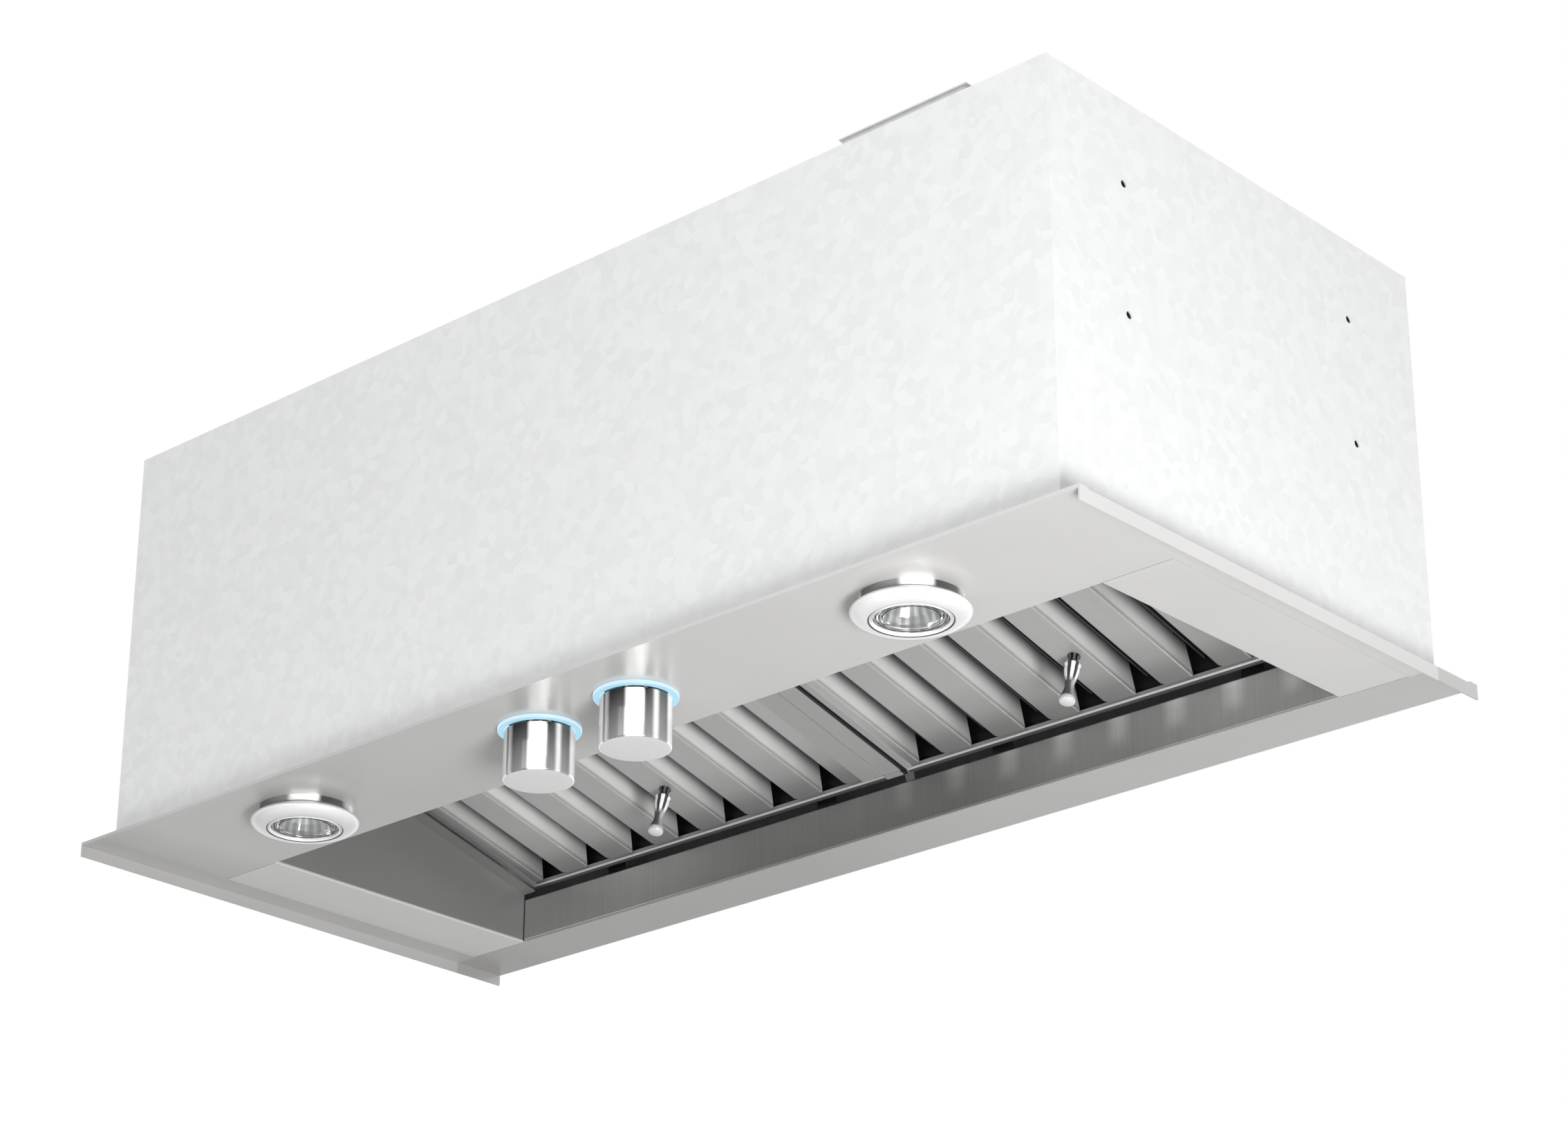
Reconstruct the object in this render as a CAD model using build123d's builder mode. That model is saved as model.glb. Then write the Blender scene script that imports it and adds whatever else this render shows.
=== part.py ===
"""Range hood insert with two hinged baffle filters, two rotary controls, two lamps and a blower.

Millimetres, +Z up. The origin is the centre of the top cover's upper face, on the axis of the
duct collar and midway between the four hanger holes. +X is to the right of somebody who stands
at the cooktop, and -Y is towards them. Heights are counted up from the visible underside of
the bottom pan with level().
"""
from build123d import *
import math
import os

os.makedirs("parts", exist_ok=True)

# ---------------------------------------------------------------- driving sizes
# Bottom pan
plate_width = 898.0
panel_depth = 116.0
opening_depth = 248.0
rear_strip_depth = 46.0
opening_width = 749.0
side_band = 21.0
pan_sheet = 1.2
side_lip_drop = 8.0
hem_width = 8.0
seam_gap = 0.25

# Housing above the pan
body_height = 300.0
body_inset_side = 23.0
body_inset_depth = 12.0
body_sheet = 1.0
body_flange = 12.0

# Recess walls
rear_wall_height = 34.4
corner_gap = 1.1
compartment_height = 87.0

# Filters and their pivot
filter_slope = 15.0
left_ledge = 11.4
side_gap = 3.9
centre_gap = 21.8
mullion_left_gap = 0.5
mullion_right_gap = 3.8
filter_rear_y = 158.0
filter_rear_height = 38.6
filter_thickness = 40.0
filter_sheet = 1.0
nose_radius = 1.6
pivot_y = -82.0
pivot_above_face = 12.0
pivot_radius = 2.5
pivot_clearance = 0.05
front_face_reach = 16.0
pivot_ear_inset = 40.0
pivot_ear_sheet = 3.0
bracket_sheet = 2.0
bracket_foot = 16.0

# Baffles
first_crease = 13.4
baffle_pitch = 47.5
slot_width = 21.0
baffle_lean = 20.2
lower_leg = 32.6
upper_web = 33.0
upper_leg = 21.3
baffle_bend = 1.5
rear_band = 6.0
rail_lip = 3.4
rail_gap = 1.6
left_flange = 5.4
right_flange = 18.0
top_flange = 12.0
corner_notch = 4.6

# Filter pull knobs
pull_length = 37.5
pull_from_crease = 10.2
pull_from_rear = 63.0
pull_base_radius = 6.0
pull_waist_radius = 3.0
pull_tip_radius = 5.7

# Lamps
lamp_from_side = 174.0
lamp_behind_front = 58.0
lamp_neck_radius = 32.5
lamp_flange_radius = 37.7
lamp_rim_radius = 27.0
lamp_drop = 14.2
lamp_flange_drop = 8.8
lamp_neck_drop = 5.0
lamp_bore_radius = 26.0
lamp_can_gap = 0.9
lamp_can_ear = 12.0
lamp_can_height = 74.0
bulb_rim_radius = 25.3
bulb_depth = 24.0
bulb_length = 31.0
lampholder_radius = 13.5
lampholder_height = 18.0

# Controls
knob_spacing = 88.0
knob_radius = 23.5
knob_length = 33.5
knob_air_gap = 0.5
halo_radius = 27.75
halo_bore_radius = 23.2
halo_thickness = 3.0
halo_sleeve_radius = 25.0
shaft_radius = 3.0
shaft_clearance = 0.05
switch_size = 38.0
switch_height = 30.0
switch_bracket_margin = 34.0
switch_bracket_depth = 60.0
driver_gap = 42.0
driver_length = 98.0
driver_depth = 42.0
driver_height = 28.0
driver_ear = 9.0

# Blower
blower_y = 47.5
blower_height = 200.0
wheel_radius = 55.0
wheel_width = 108.0
wheel_ring = 3.0
blade_depth = 9.0
blade_count = 36
hub_length = 24.0
hub_radius = 11.0
shaft_tail = 1.0
scroll_width = 124.0
scroll_radius = 64.0
scroll_step = 7.0
scroll_seam = 0.1
scroll_flange = 11.0
outlet_depth = 68.0
inlet_radius = 44.0
motor_radius = 36.0
motor_length = 56.0
motor_gap = 10.0
motor_shaft_radius = 4.0

# Duct collar and damper
collar_radius = 88.5
collar_sheet = 1.0
collar_height = 50.0
collar_flange_radius = 104.0
damper_height = 18.0
damper_pin_radius = 1.5
damper_clearance = 0.05
damper_gap = 1.2
flap_sheet = 0.8

# Electrical
box_from_side = 156.0
box_y = -110.0
box_length = 104.0
box_depth = 64.0
box_height = 42.0
box_seam = 0.1
box_tab = 9.0
wiring_hole_radius = 9.0
knockout_radius = 11.1

# Mounting holes
hanger_inset_x = 36.0
hanger_inset_y = 33.0
hanger_hole_radius = 4.5
hanger_plate = 2.0
hanger_plate_side = 40.0
bead_margin = 33.0
bead_width = 14.0
bead_height = 1.6
lid_screw_inset = 8.0
side_hole_spacing_y = 240.0
side_hole_spacing_z = 90.0
side_hole_height = 195.0
side_hole_radius = 2.6

# ---------------------------------------------------------------- worked out from the sizes
plate_depth = panel_depth + opening_depth + rear_strip_depth
front_edge = -plate_depth / 2
rear_edge = plate_depth / 2
opening_front = front_edge + panel_depth
opening_rear = opening_front + opening_depth
wall_x = opening_width / 2
crease_x = plate_width / 2 - side_band
body_x = plate_width / 2 - body_inset_side
body_front = front_edge + body_inset_depth
body_rear = rear_edge - body_inset_depth
control_y = front_edge + lamp_behind_front
lamp_offset_x = plate_width / 2 - lamp_from_side
hanger_x = body_x - hanger_inset_x
hanger_y = body_rear - hanger_inset_y
box_x = body_x - box_from_side
filter_width = (opening_width - left_ledge - 2 * side_gap - centre_gap) / 2
left_filter_x = left_ledge + side_gap - wall_x
right_filter_x = wall_x - side_gap - filter_width

slope = math.radians(filter_slope)
slope_cos = math.cos(slope)
slope_sin = math.sin(slope)
lean = math.radians(baffle_lean)


def level(height):
    """Z of a height above the visible underside of the pan."""
    return height - body_height


filter_end = (filter_rear_y - pivot_y + pivot_above_face * slope_sin) / slope_cos
pivot_height = filter_rear_height + filter_end * slope_sin + pivot_above_face * slope_cos
filter_low = -pivot_above_face
filter_high = filter_low + filter_thickness
band_start = filter_end - rear_band
filter_frame = Plane(
    origin=(0, pivot_y, level(pivot_height)),
    x_dir=(1, 0, 0),
    z_dir=(0, slope_sin, slope_cos),
)


def face_height(y):
    """Height of the filters' lower face above the underside of the pan, at a place along Y."""
    return filter_rear_height + (filter_rear_y - y) * math.tan(slope)


# ---------------------------------------------------------------- helpers
def block(x, y, z, mode=Mode.ADD):
    """A rectangular block between pairs of low and high bounds."""
    with Locations(((x[0] + x[1]) / 2, (y[0] + y[1]) / 2, (z[0] + z[1]) / 2)):
        Box(x[1] - x[0], y[1] - y[0], z[1] - z[0], mode=mode)


def rod(radius, start, end, mode=Mode.ADD):
    """A round rod between two points."""
    line = Vector(*end) - Vector(*start)
    with BuildSketch(Plane(origin=start, z_dir=line.normalized())) as disc:
        Circle(radius)
    extrude(disc.sketch, amount=line.length, mode=mode)


def turned(axis_x, axis_y, outline):
    """A solid turned about a vertical axis from (radius, z) corners."""
    plane = Plane(origin=(axis_x, axis_y, 0), x_dir=(1, 0, 0), z_dir=(0, -1, 0))
    with BuildSketch(plane) as half:
        with BuildLine():
            Polyline(*outline, close=True)
        make_face()
    revolve(half.sketch, axis=Axis((axis_x, axis_y, 0), (0, 0, 1)))


def profile_x(points, x_low, x_high, mode=Mode.ADD):
    """A prism along X from corners given in (y, z)."""
    with BuildSketch(Plane(origin=(x_low, 0, 0), x_dir=(0, 1, 0), z_dir=(1, 0, 0))) as end:
        with BuildLine():
            Polyline(*points, close=True)
        make_face()
    extrude(end.sketch, amount=x_high - x_low, mode=mode)


def folded_x(points, bend, thickness, x_low, x_high, side=Side.LEFT):
    """A folded sheet along X from the (y, z) corners of one of its faces."""
    with BuildSketch(Plane(origin=(x_low, 0, 0), x_dir=(0, 1, 0), z_dir=(1, 0, 0))) as end:
        with BuildLine():
            FilletPolyline(*points, radius=bend)
            offset(amount=thickness, side=side)
        make_face()
    extrude(end.sketch, amount=x_high - x_low)


def screw_head(x, y, z, radius=3.4, height=2.0):
    """A low pan head that stands on a level face."""
    with BuildSketch(Plane(origin=(x, y, z))) as seat:
        Circle(radius)
    extrude(seat.sketch, amount=height, taper=25)


def save(piece, name):
    """Label a finished piece and write its file."""
    piece.part.label = name
    export_step(piece.part, f"parts/{name}.step")


# ---------------------------------------------------------------- bottom pan and recess
def make_bottom_pan():
    """Control panel, rear strip and side bands in one sheet, with hems and lips."""
    with BuildPart() as pan:
        half = plate_width / 2
        block((-half, half), (front_edge, rear_edge), (level(0), level(pan_sheet)))
        cut_x = crease_x + seam_gap
        with BuildSketch(Plane.XY.offset(level(0))):
            with Locations((0, (opening_front + opening_rear) / 2)):
                Rectangle(2 * cut_x, opening_depth)
        extrude(amount=pan_sheet, mode=Mode.SUBTRACT)
        for side in (-1, 1):
            edge = sorted((side * half, side * (half - pan_sheet)))
            block(edge, (front_edge, rear_edge), (level(-side_lip_drop), level(0)))
        for low in (front_edge, rear_edge - hem_width):
            hem = (level(pan_sheet), level(2 * pan_sheet))
            block((-half, half), (low, low + hem_width), hem)
        for x in (-lamp_offset_x, lamp_offset_x):
            rod(
                lamp_neck_radius - 0.7,
                (x, control_y, level(-1)),
                (x, control_y, level(pan_sheet + 1)),
                mode=Mode.SUBTRACT,
            )
        for x in (-knob_spacing / 2, knob_spacing / 2):
            rod(
                halo_sleeve_radius + 0.3,
                (x, control_y, level(-1)),
                (x, control_y, level(pan_sheet + 1)),
                mode=Mode.SUBTRACT,
            )
    save(pan, "bottom_pan")


def make_side_liner(side, name, ledge):
    """A recess side: flush flange, upright wall and a ledge along the filter's slope."""
    with BuildPart() as liner:
        face = side * wall_x
        back = side * (wall_x + pan_sheet)
        y_span = (opening_front + seam_gap, opening_rear - seam_gap)
        flange = sorted((face, side * crease_x))
        block(flange, y_span, (level(0), level(pan_sheet)))
        wall = [
            (opening_front + seam_gap, level(0)),
            (opening_rear, level(0)),
            (opening_rear, level(face_height(opening_rear))),
            (opening_front + seam_gap, level(face_height(opening_front))),
        ]
        low, high = sorted((face, back))
        profile_x(wall, low, high)
        if ledge > 0:
            span = sorted((back, side * (wall_x - ledge)))
        else:
            span = sorted((face, side * (wall_x + body_flange)))
        top = [
            (opening_front + seam_gap, level(face_height(opening_front))),
            (opening_rear, level(face_height(opening_rear))),
            (opening_rear, level(face_height(opening_rear) + pan_sheet)),
            (opening_front + seam_gap, level(face_height(opening_front) + pan_sheet)),
        ]
        profile_x(top, *span)
        bend = liner.edges().filter_by(Axis.Y).group_by(Axis.Z)[0]
        bend = bend.filter_by(lambda e: abs(e.center().X - face) < 0.01)
        fillet(bend, radius=pan_sheet * 0.9)
    save(liner, name)


def make_rear_liner():
    """The recess's rear wall, folded out at the bottom and back into a ledge at the top."""
    with BuildPart() as liner:
        outer = [
            (opening_rear + body_flange, level(pan_sheet)),
            (opening_rear, level(pan_sheet)),
            (opening_rear, level(rear_wall_height)),
            (body_rear - body_sheet, level(rear_wall_height)),
        ]
        half = wall_x - corner_gap
        folded_x(outer, 1.5, pan_sheet, -half, half, side=Side.RIGHT)
    save(liner, "rear_liner")


def make_compartment_cover():
    """Sheet that closes off the wiring behind the control panel."""
    with BuildPart() as cover:
        outer = [
            (opening_front - body_flange, level(pan_sheet)),
            (opening_front, level(pan_sheet)),
            (opening_front, level(compartment_height)),
            (body_front + body_sheet, level(compartment_height)),
        ]
        half = body_x - body_flange - seam_gap
        folded_x(outer, 1.5, pan_sheet, -half, half, side=Side.LEFT)
    save(cover, "control_compartment_cover")


# ---------------------------------------------------------------- housing
def tray(x, y, z, open_side):
    """A sheet panel with its four edges folded inwards, open on one side."""
    block(x, y, z)
    t = body_sheet
    inner_x = (x[0] + t, x[1] - t)
    inner_z = (z[0] + t, z[1] - t)
    inner_y = (y[0] + t, y[1]) if open_side > 0 else (y[0], y[1] - t)
    block(inner_x, inner_y, inner_z, mode=Mode.SUBTRACT)


def make_front_and_rear_panels():
    """The housing's front and rear, which stand on the pan between the side panels."""
    inner = body_x - body_sheet
    heights = (level(pan_sheet), level(body_height - body_sheet))
    with BuildPart() as front:
        tray((-inner, inner), (body_front, body_front + body_flange), heights, 1)
    save(front, "front_panel")
    with BuildPart() as rear:
        tray((-inner, inner), (body_rear - body_flange, body_rear), heights, -1)
    save(rear, "rear_panel")


def make_side_panel(side, name):
    """A housing end with its bottom and top edges folded in and screw holes for a cabinet."""
    with BuildPart() as panel:
        skin = sorted((side * body_x, side * (body_x - body_sheet)))
        fold = sorted((side * (body_x - body_sheet), side * (body_x - body_flange)))
        heights = (level(pan_sheet), level(body_height - body_sheet))
        block(skin, (body_front, body_rear), heights)
        fold_y = (body_front + body_flange, body_rear - body_flange)
        block(fold, fold_y, (heights[0], heights[0] + body_sheet))
        block(fold, fold_y, (heights[1] - body_sheet, heights[1]))
        for y in (-side_hole_spacing_y / 2, side_hole_spacing_y / 2):
            for z in (-side_hole_spacing_z / 2, side_hole_spacing_z / 2):
                centre = level(side_hole_height) + z
                rod(
                    side_hole_radius,
                    (skin[0] - 1, y, centre),
                    (skin[1] + 1, y, centre),
                    mode=Mode.SUBTRACT,
                )
    save(panel, name)


hanger_spots = [(x * hanger_x, y * hanger_y) for x in (-1, 1) for y in (-1, 1)]


def make_top_cover():
    """The housing's lid, with the outlet, the hanger holes and pressed stiffening beads."""
    with BuildPart() as cover:
        z = (level(body_height - body_sheet), level(body_height))
        block((-body_x, body_x), (body_front, body_rear), z)
        half = scroll_width / 2 - body_sheet
        deep = outlet_depth / 2 - body_sheet
        block((-half, half), (-deep, deep), z, mode=Mode.SUBTRACT)
        for x, y in hanger_spots:
            rod(
                hanger_hole_radius,
                (x, y, z[0] - 1),
                (x, y, z[1] + 1),
                mode=Mode.SUBTRACT,
            )
        wiring = (box_x, box_y)
        rod(wiring_hole_radius, (*wiring, z[0] - 1), (*wiring, z[1] + 1), mode=Mode.SUBTRACT)
        bead_middle = (collar_flange_radius + hanger_x) / 2
        bead_length = hanger_x - collar_flange_radius - 2 * bead_margin
        for side in (-1, 1):
            with BuildSketch(Plane.XY.offset(z[1])):
                with Locations((side * bead_middle, 0)):
                    SlotOverall(bead_length, bead_width)
            extrude(amount=bead_height, taper=35)
    save(cover, "top_cover")


def make_hanger_plates():
    """Thick plates under the lid's corners that take the load of the hanger screws."""
    with BuildPart() as plates:
        top = level(body_height - body_sheet)
        half = hanger_plate_side / 2
        for x, y in hanger_spots:
            block((x - half, x + half), (y - half, y + half), (top - hanger_plate, top))
            rod(hanger_hole_radius, (x, y, top - 9), (x, y, top + 1), mode=Mode.SUBTRACT)
    save(plates, "hanger_plates")


# ---------------------------------------------------------------- filter supports
def make_pivot_rod():
    """The steel rod on which both filters hang."""
    half = wall_x - 2.0
    centre = (pivot_y, level(pivot_height))
    with BuildPart() as pivot:
        rod(pivot_radius, (-half, *centre), (half, *centre))
    save(pivot, "filter_pivot_rod")


def make_pivot_brackets():
    """Upright ears on the compartment cover that hold the pivot rod at both ends and midway."""
    centre = (pivot_y, level(pivot_height))
    foot = level(compartment_height)
    back = opening_front - 2.5
    head = pivot_radius + 4.0
    upright = [
        (back - bracket_foot, foot),
        (back, foot),
        (back, centre[1] - head),
        (centre[0], centre[1] - head),
        (centre[0], centre[1] + head),
        (back - bracket_foot, centre[1] + head),
    ]
    mullion_middle = (left_filter_x + filter_width + right_filter_x) / 2
    with BuildPart() as brackets:
        for x, step in ((-wall_x + 5, 1), (mullion_middle - 1, 1), (wall_x - 5, -1)):
            low, high = sorted((x, x + step * bracket_sheet))
            profile_x(upright, low, high)
            rod(head, (low, *centre), (high, *centre))
            rod(
                pivot_radius + pivot_clearance,
                (low - 1, *centre),
                (high + 1, *centre),
                mode=Mode.SUBTRACT,
            )
            flange = sorted((x, x + step * bracket_foot))
            block(flange, (back - bracket_foot, back), (foot, foot + bracket_sheet))
    save(brackets, "pivot_brackets")


mullion_left = left_filter_x + filter_width + mullion_left_gap
mullion_right = right_filter_x - mullion_right_gap


def make_centre_mullion():
    """Fixed channel between the filters, carried by the rod and the rear ledge."""
    x = (mullion_left, mullion_right)
    low, high = filter_low + filter_sheet, filter_low + 24
    t = filter_sheet
    with BuildPart(filter_frame) as mullion:
        block(x, (front_face_reach, filter_end), (low, low + t))
        block(x, (band_start, filter_end), (filter_low, low + t))
        nose = mullion.edges().filter_by(Axis.X).sort_by(Axis.Z)[0]
        fillet(nose, radius=nose_radius)
        for side in (x[0], x[1] - t):
            block((side, side + t), (front_face_reach, filter_end - nose_radius), (low, high))
            block((side, side + t), (-6.5, front_face_reach), (-6.5, high))
            place = (side - 1, 0, 0)
            with BuildSketch(
                Plane(
                    origin=filter_frame.from_local_coords(place),
                    x_dir=(0, 1, 0),
                    z_dir=(1, 0, 0),
                )
            ):
                Circle(pivot_radius + pivot_clearance)
            extrude(amount=3.0, mode=Mode.SUBTRACT)
        block(x, (filter_end - 20, filter_end - nose_radius), (high - t, high))
    with BuildPart() as strap:
        top = filter_frame.from_local_coords((0, filter_end - nose_radius - 0.2, high))
        ledge = level(rear_wall_height)
        seat = top.Y + 12
        middle = (x[0] + x[1]) / 2
        folded_x(
            [
                (top.Y - 12, top.Z + 12 * math.tan(slope)),
                (top.Y, top.Z),
                (seat, ledge),
                (seat + body_flange, ledge),
            ],
            1.2,
            filter_sheet,
            middle - 4,
            middle + 4,
            side=Side.LEFT,
        )
    with BuildPart() as whole:
        add(mullion.part)
        add(strap.part)
    save(whole, "centre_mullion")


def make_filter_catches():
    """Spring fingers on the rear ledge that press on the filters' rear upper corners."""
    reach = math.hypot(filter_end, filter_high) + 0.35
    corner = math.atan2(filter_high, filter_end) - slope
    nose_y = pivot_y + reach * math.cos(corner)
    nose_z = level(pivot_height) + reach * math.sin(corner)
    ledge = level(rear_wall_height)
    finger = [
        (body_rear - body_sheet - 5, ledge),
        (nose_y + 5, ledge),
        (nose_y, nose_z - 2),
        (nose_y + 6, nose_z + 12),
    ]
    with BuildPart() as catches:
        for start in (left_filter_x, right_filter_x):
            for share in (0.2, 0.8):
                x = start + filter_width * share
                folded_x(finger, 1.4, 0.7, x - 9, x + 9, side=Side.RIGHT)
    save(catches, "filter_catches")


# ---------------------------------------------------------------- baffle filters
def section_at(u, reach):
    """Plane across a filter at a distance from the pivot, X to the right and Y up."""
    return Plane(
        origin=filter_frame.from_local_coords((u, reach, 0)),
        x_dir=(1, 0, 0),
        z_dir=(0, -slope_cos, slope_sin),
    )


inner_front = front_face_reach + filter_sheet
inner_rear = filter_end - filter_sheet
flat_end = band_start - rail_gap
web_low = filter_low + filter_sheet
web_high = filter_high - filter_sheet
flat_width = baffle_pitch - slot_width
last_flat = right_flange + 6.0
slot_room = filter_width - first_crease - slot_width - last_flat
slots_per_filter = 1 + int(slot_room / baffle_pitch)


def make_filter_frame(start, name):
    """A channel frame of folded sheet with a rounded rear edge and two pivot ears."""
    u = (start, start + filter_width)
    t = filter_sheet
    with BuildPart(filter_frame) as frame:
        block(u, (front_face_reach, filter_end), (filter_low, filter_high))
        nose = frame.edges().filter_by(Axis.X).sort_by(Axis.Z)[0]
        fillet(nose, radius=nose_radius)
        inner = ((u[0] + t, u[1] - t), (inner_front, inner_rear), (web_low, web_high))
        block(*inner, mode=Mode.SUBTRACT)
        window = (u[0] + left_flange, u[1] - right_flange)
        below = (filter_low - 1, web_low + 1)
        block(window, (front_face_reach + top_flange, band_start), below, mode=Mode.SUBTRACT)
        lip = (filter_low, filter_low + rail_lip)
        block((u[0] + t, u[1] - t), (band_start, band_start + t), lip)
        fold = filter_frame.from_local_coords((sum(window) / 2, band_start, filter_low))
        fillet(frame.edges().filter_by(Axis.X).sort_by_distance(fold)[0], radius=0.7 * t)
        above = (web_high - 1, filter_high + 1)
        window = (u[0] + top_flange, u[1] - top_flange)
        reach = (front_face_reach + top_flange, filter_end - top_flange)
        block(window, reach, above, mode=Mode.SUBTRACT)
        ear = pivot_radius + 3.5
        for ear_u in (u[0] + pivot_ear_inset, u[1] - pivot_ear_inset - pivot_ear_sheet):
            block((ear_u, ear_u + pivot_ear_sheet), (0, front_face_reach), (-ear, ear))
            side = Plane(
                origin=filter_frame.from_local_coords((ear_u, 0, 0)),
                x_dir=(0, 1, 0),
                z_dir=(1, 0, 0),
            )
            with BuildSketch(side):
                Circle(ear)
            extrude(amount=pivot_ear_sheet)
            with BuildSketch(side.offset(-1)):
                Circle(pivot_radius + pivot_clearance)
            extrude(amount=pivot_ear_sheet + 2, mode=Mode.SUBTRACT)
    save(frame, f"{name}_frame")


def channel(left, right, legs, leg):
    """Corners of a baffle's outer face: a web with leaning legs on one or both sides."""
    run, rise = leg * math.sin(lean), leg * math.cos(lean)
    corners = [(left, 0), (right, 0)]
    if "A" in legs:
        corners.insert(0, (left + run, rise))
    if "B" in legs:
        corners.append((right - run, rise))
    return corners


def baffle(plane, corners, length):
    """One folded baffle that runs forward from a section plane."""
    with BuildSketch(plane) as section:
        with BuildLine():
            FilletPolyline(*corners, radius=baffle_bend)
            offset(amount=filter_sheet, side=Side.LEFT)
        make_face()
    extrude(section.sketch, amount=length)


def lower_flats():
    """Left edge, right edge and legs of each lower baffle, from the filter's left edge."""
    flats = [(filter_sheet, first_crease, "B")]
    for slot in range(slots_per_filter - 1):
        left = first_crease + slot_width + baffle_pitch * slot
        flats.append((left, left + flat_width, "AB"))
    last = first_crease + slot_width + baffle_pitch * (slots_per_filter - 1)
    flats.append((last, filter_width - filter_sheet, "A"))
    return flats


pull_u = lower_flats()[slots_per_filter // 2 + 1][1] - pull_from_crease
pull_reach = filter_end - pull_from_rear


def make_lower_baffles(start, name):
    """The visible row: trapezoid channels whose webs lie on the frame's flanges."""
    length = flat_end - inner_front - top_flange
    tab_low = filter_low + rail_lip
    with BuildPart() as row:
        for left, right, legs in lower_flats():
            plane = section_at(start, flat_end)
            plane = plane.shift_origin(plane.from_local_coords((0, web_low)))
            baffle(plane, channel(left, right, legs, lower_leg), length)
    with BuildPart(filter_frame) as webs:
        for left, right, legs in lower_flats():
            inset = baffle_bend if "A" in legs else 0.0
            x = (start + left + inset, start + right - (baffle_bend if "B" in legs else 0.0))
            web = (web_low, web_low + filter_sheet)
            block(x, (inner_front, inner_front + top_flange + 1), web)
            tab = (x[0] + corner_notch, x[1] - baffle_bend)
            riser = (flat_end - filter_sheet, flat_end)
            block(tab, riser, (web_low, tab_low + filter_sheet))
            block(tab, (riser[0], inner_rear), (tab_low, tab_low + filter_sheet))
    with BuildPart(filter_frame) as cuts:
        for left, right, legs in lower_flats():
            if "A" in legs:
                edge = start + left
                spot = filter_frame.from_local_coords((edge, flat_end, web_low - 1))
                with BuildSketch(Plane(origin=spot, x_dir=(1, 0, 0), z_dir=filter_frame.z_dir)):
                    with BuildLine():
                        Polyline(
                            (-1, -corner_notch),
                            (0, -corner_notch),
                            (corner_notch, 0),
                            (corner_notch, 1),
                            (-1, 1),
                            close=True,
                        )
                    make_face()
                extrude(amount=filter_sheet + 3)
        hole = filter_frame.from_local_coords((start + pull_u, pull_reach, web_low - 1))
        with BuildSketch(Plane(origin=hole, x_dir=(1, 0, 0), z_dir=filter_frame.z_dir)):
            Circle(2.2)
        extrude(amount=filter_sheet + 2)
    with BuildPart() as whole:
        add(row.part)
        add(webs.part)
        add(cuts.part, mode=Mode.SUBTRACT)
    save(whole, f"{name}_lower_baffles")


def make_upper_baffles(start, name):
    """The hidden row: wider, shorter channels upside down, one over each slot."""
    with BuildPart() as row:
        plane = section_at(start, inner_rear)
        plane = plane.shift_origin(plane.from_local_coords((0, web_high)))
        turned_over = Plane(origin=plane.origin, x_dir=(-1, 0, 0), z_dir=plane.z_dir)
        for slot in range(slots_per_filter):
            middle = first_crease + slot_width / 2 + baffle_pitch * slot
            edges = (-middle - upper_web / 2, -middle + upper_web / 2)
            corners = channel(*edges, "AB", upper_leg)
            baffle(turned_over, corners, inner_rear - inner_front)
    save(row, f"{name}_upper_baffles")


def make_filter_pull(start, name):
    """A turned spool knob, its stud riveted through one flat."""
    foot = filter_frame.from_local_coords((start + pull_u, pull_reach, web_low))
    side = Plane(origin=foot, x_dir=(1, 0, 0), z_dir=(0, -slope_cos, slope_sin))
    with BuildPart() as pull:
        with BuildSketch(side):
            with BuildLine():
                Polyline((0, 0), (pull_base_radius, 0), (pull_base_radius, -1.6))
                Spline(
                    (pull_base_radius, -1.6),
                    (pull_base_radius * 0.86, -pull_length * 0.16),
                    (pull_waist_radius, -pull_length * 0.46),
                    (pull_waist_radius * 1.12, -pull_length * 0.64),
                    (pull_tip_radius, -pull_length + 2.0),
                )
                Polyline(
                    (pull_tip_radius, -pull_length + 2.0),
                    (pull_tip_radius - 0.9, -pull_length),
                    (0, -pull_length),
                    (0, 0),
                )
            make_face()
        with BuildSketch(side):
            with Locations((1, filter_sheet / 2)):
                Rectangle(2, filter_sheet)
            with Locations((2.1, filter_sheet + 0.8)):
                Rectangle(4.2, 1.6)
        revolve(axis=Axis(foot, filter_frame.z_dir))
    save(pull, f"{name}_pull")


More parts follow.
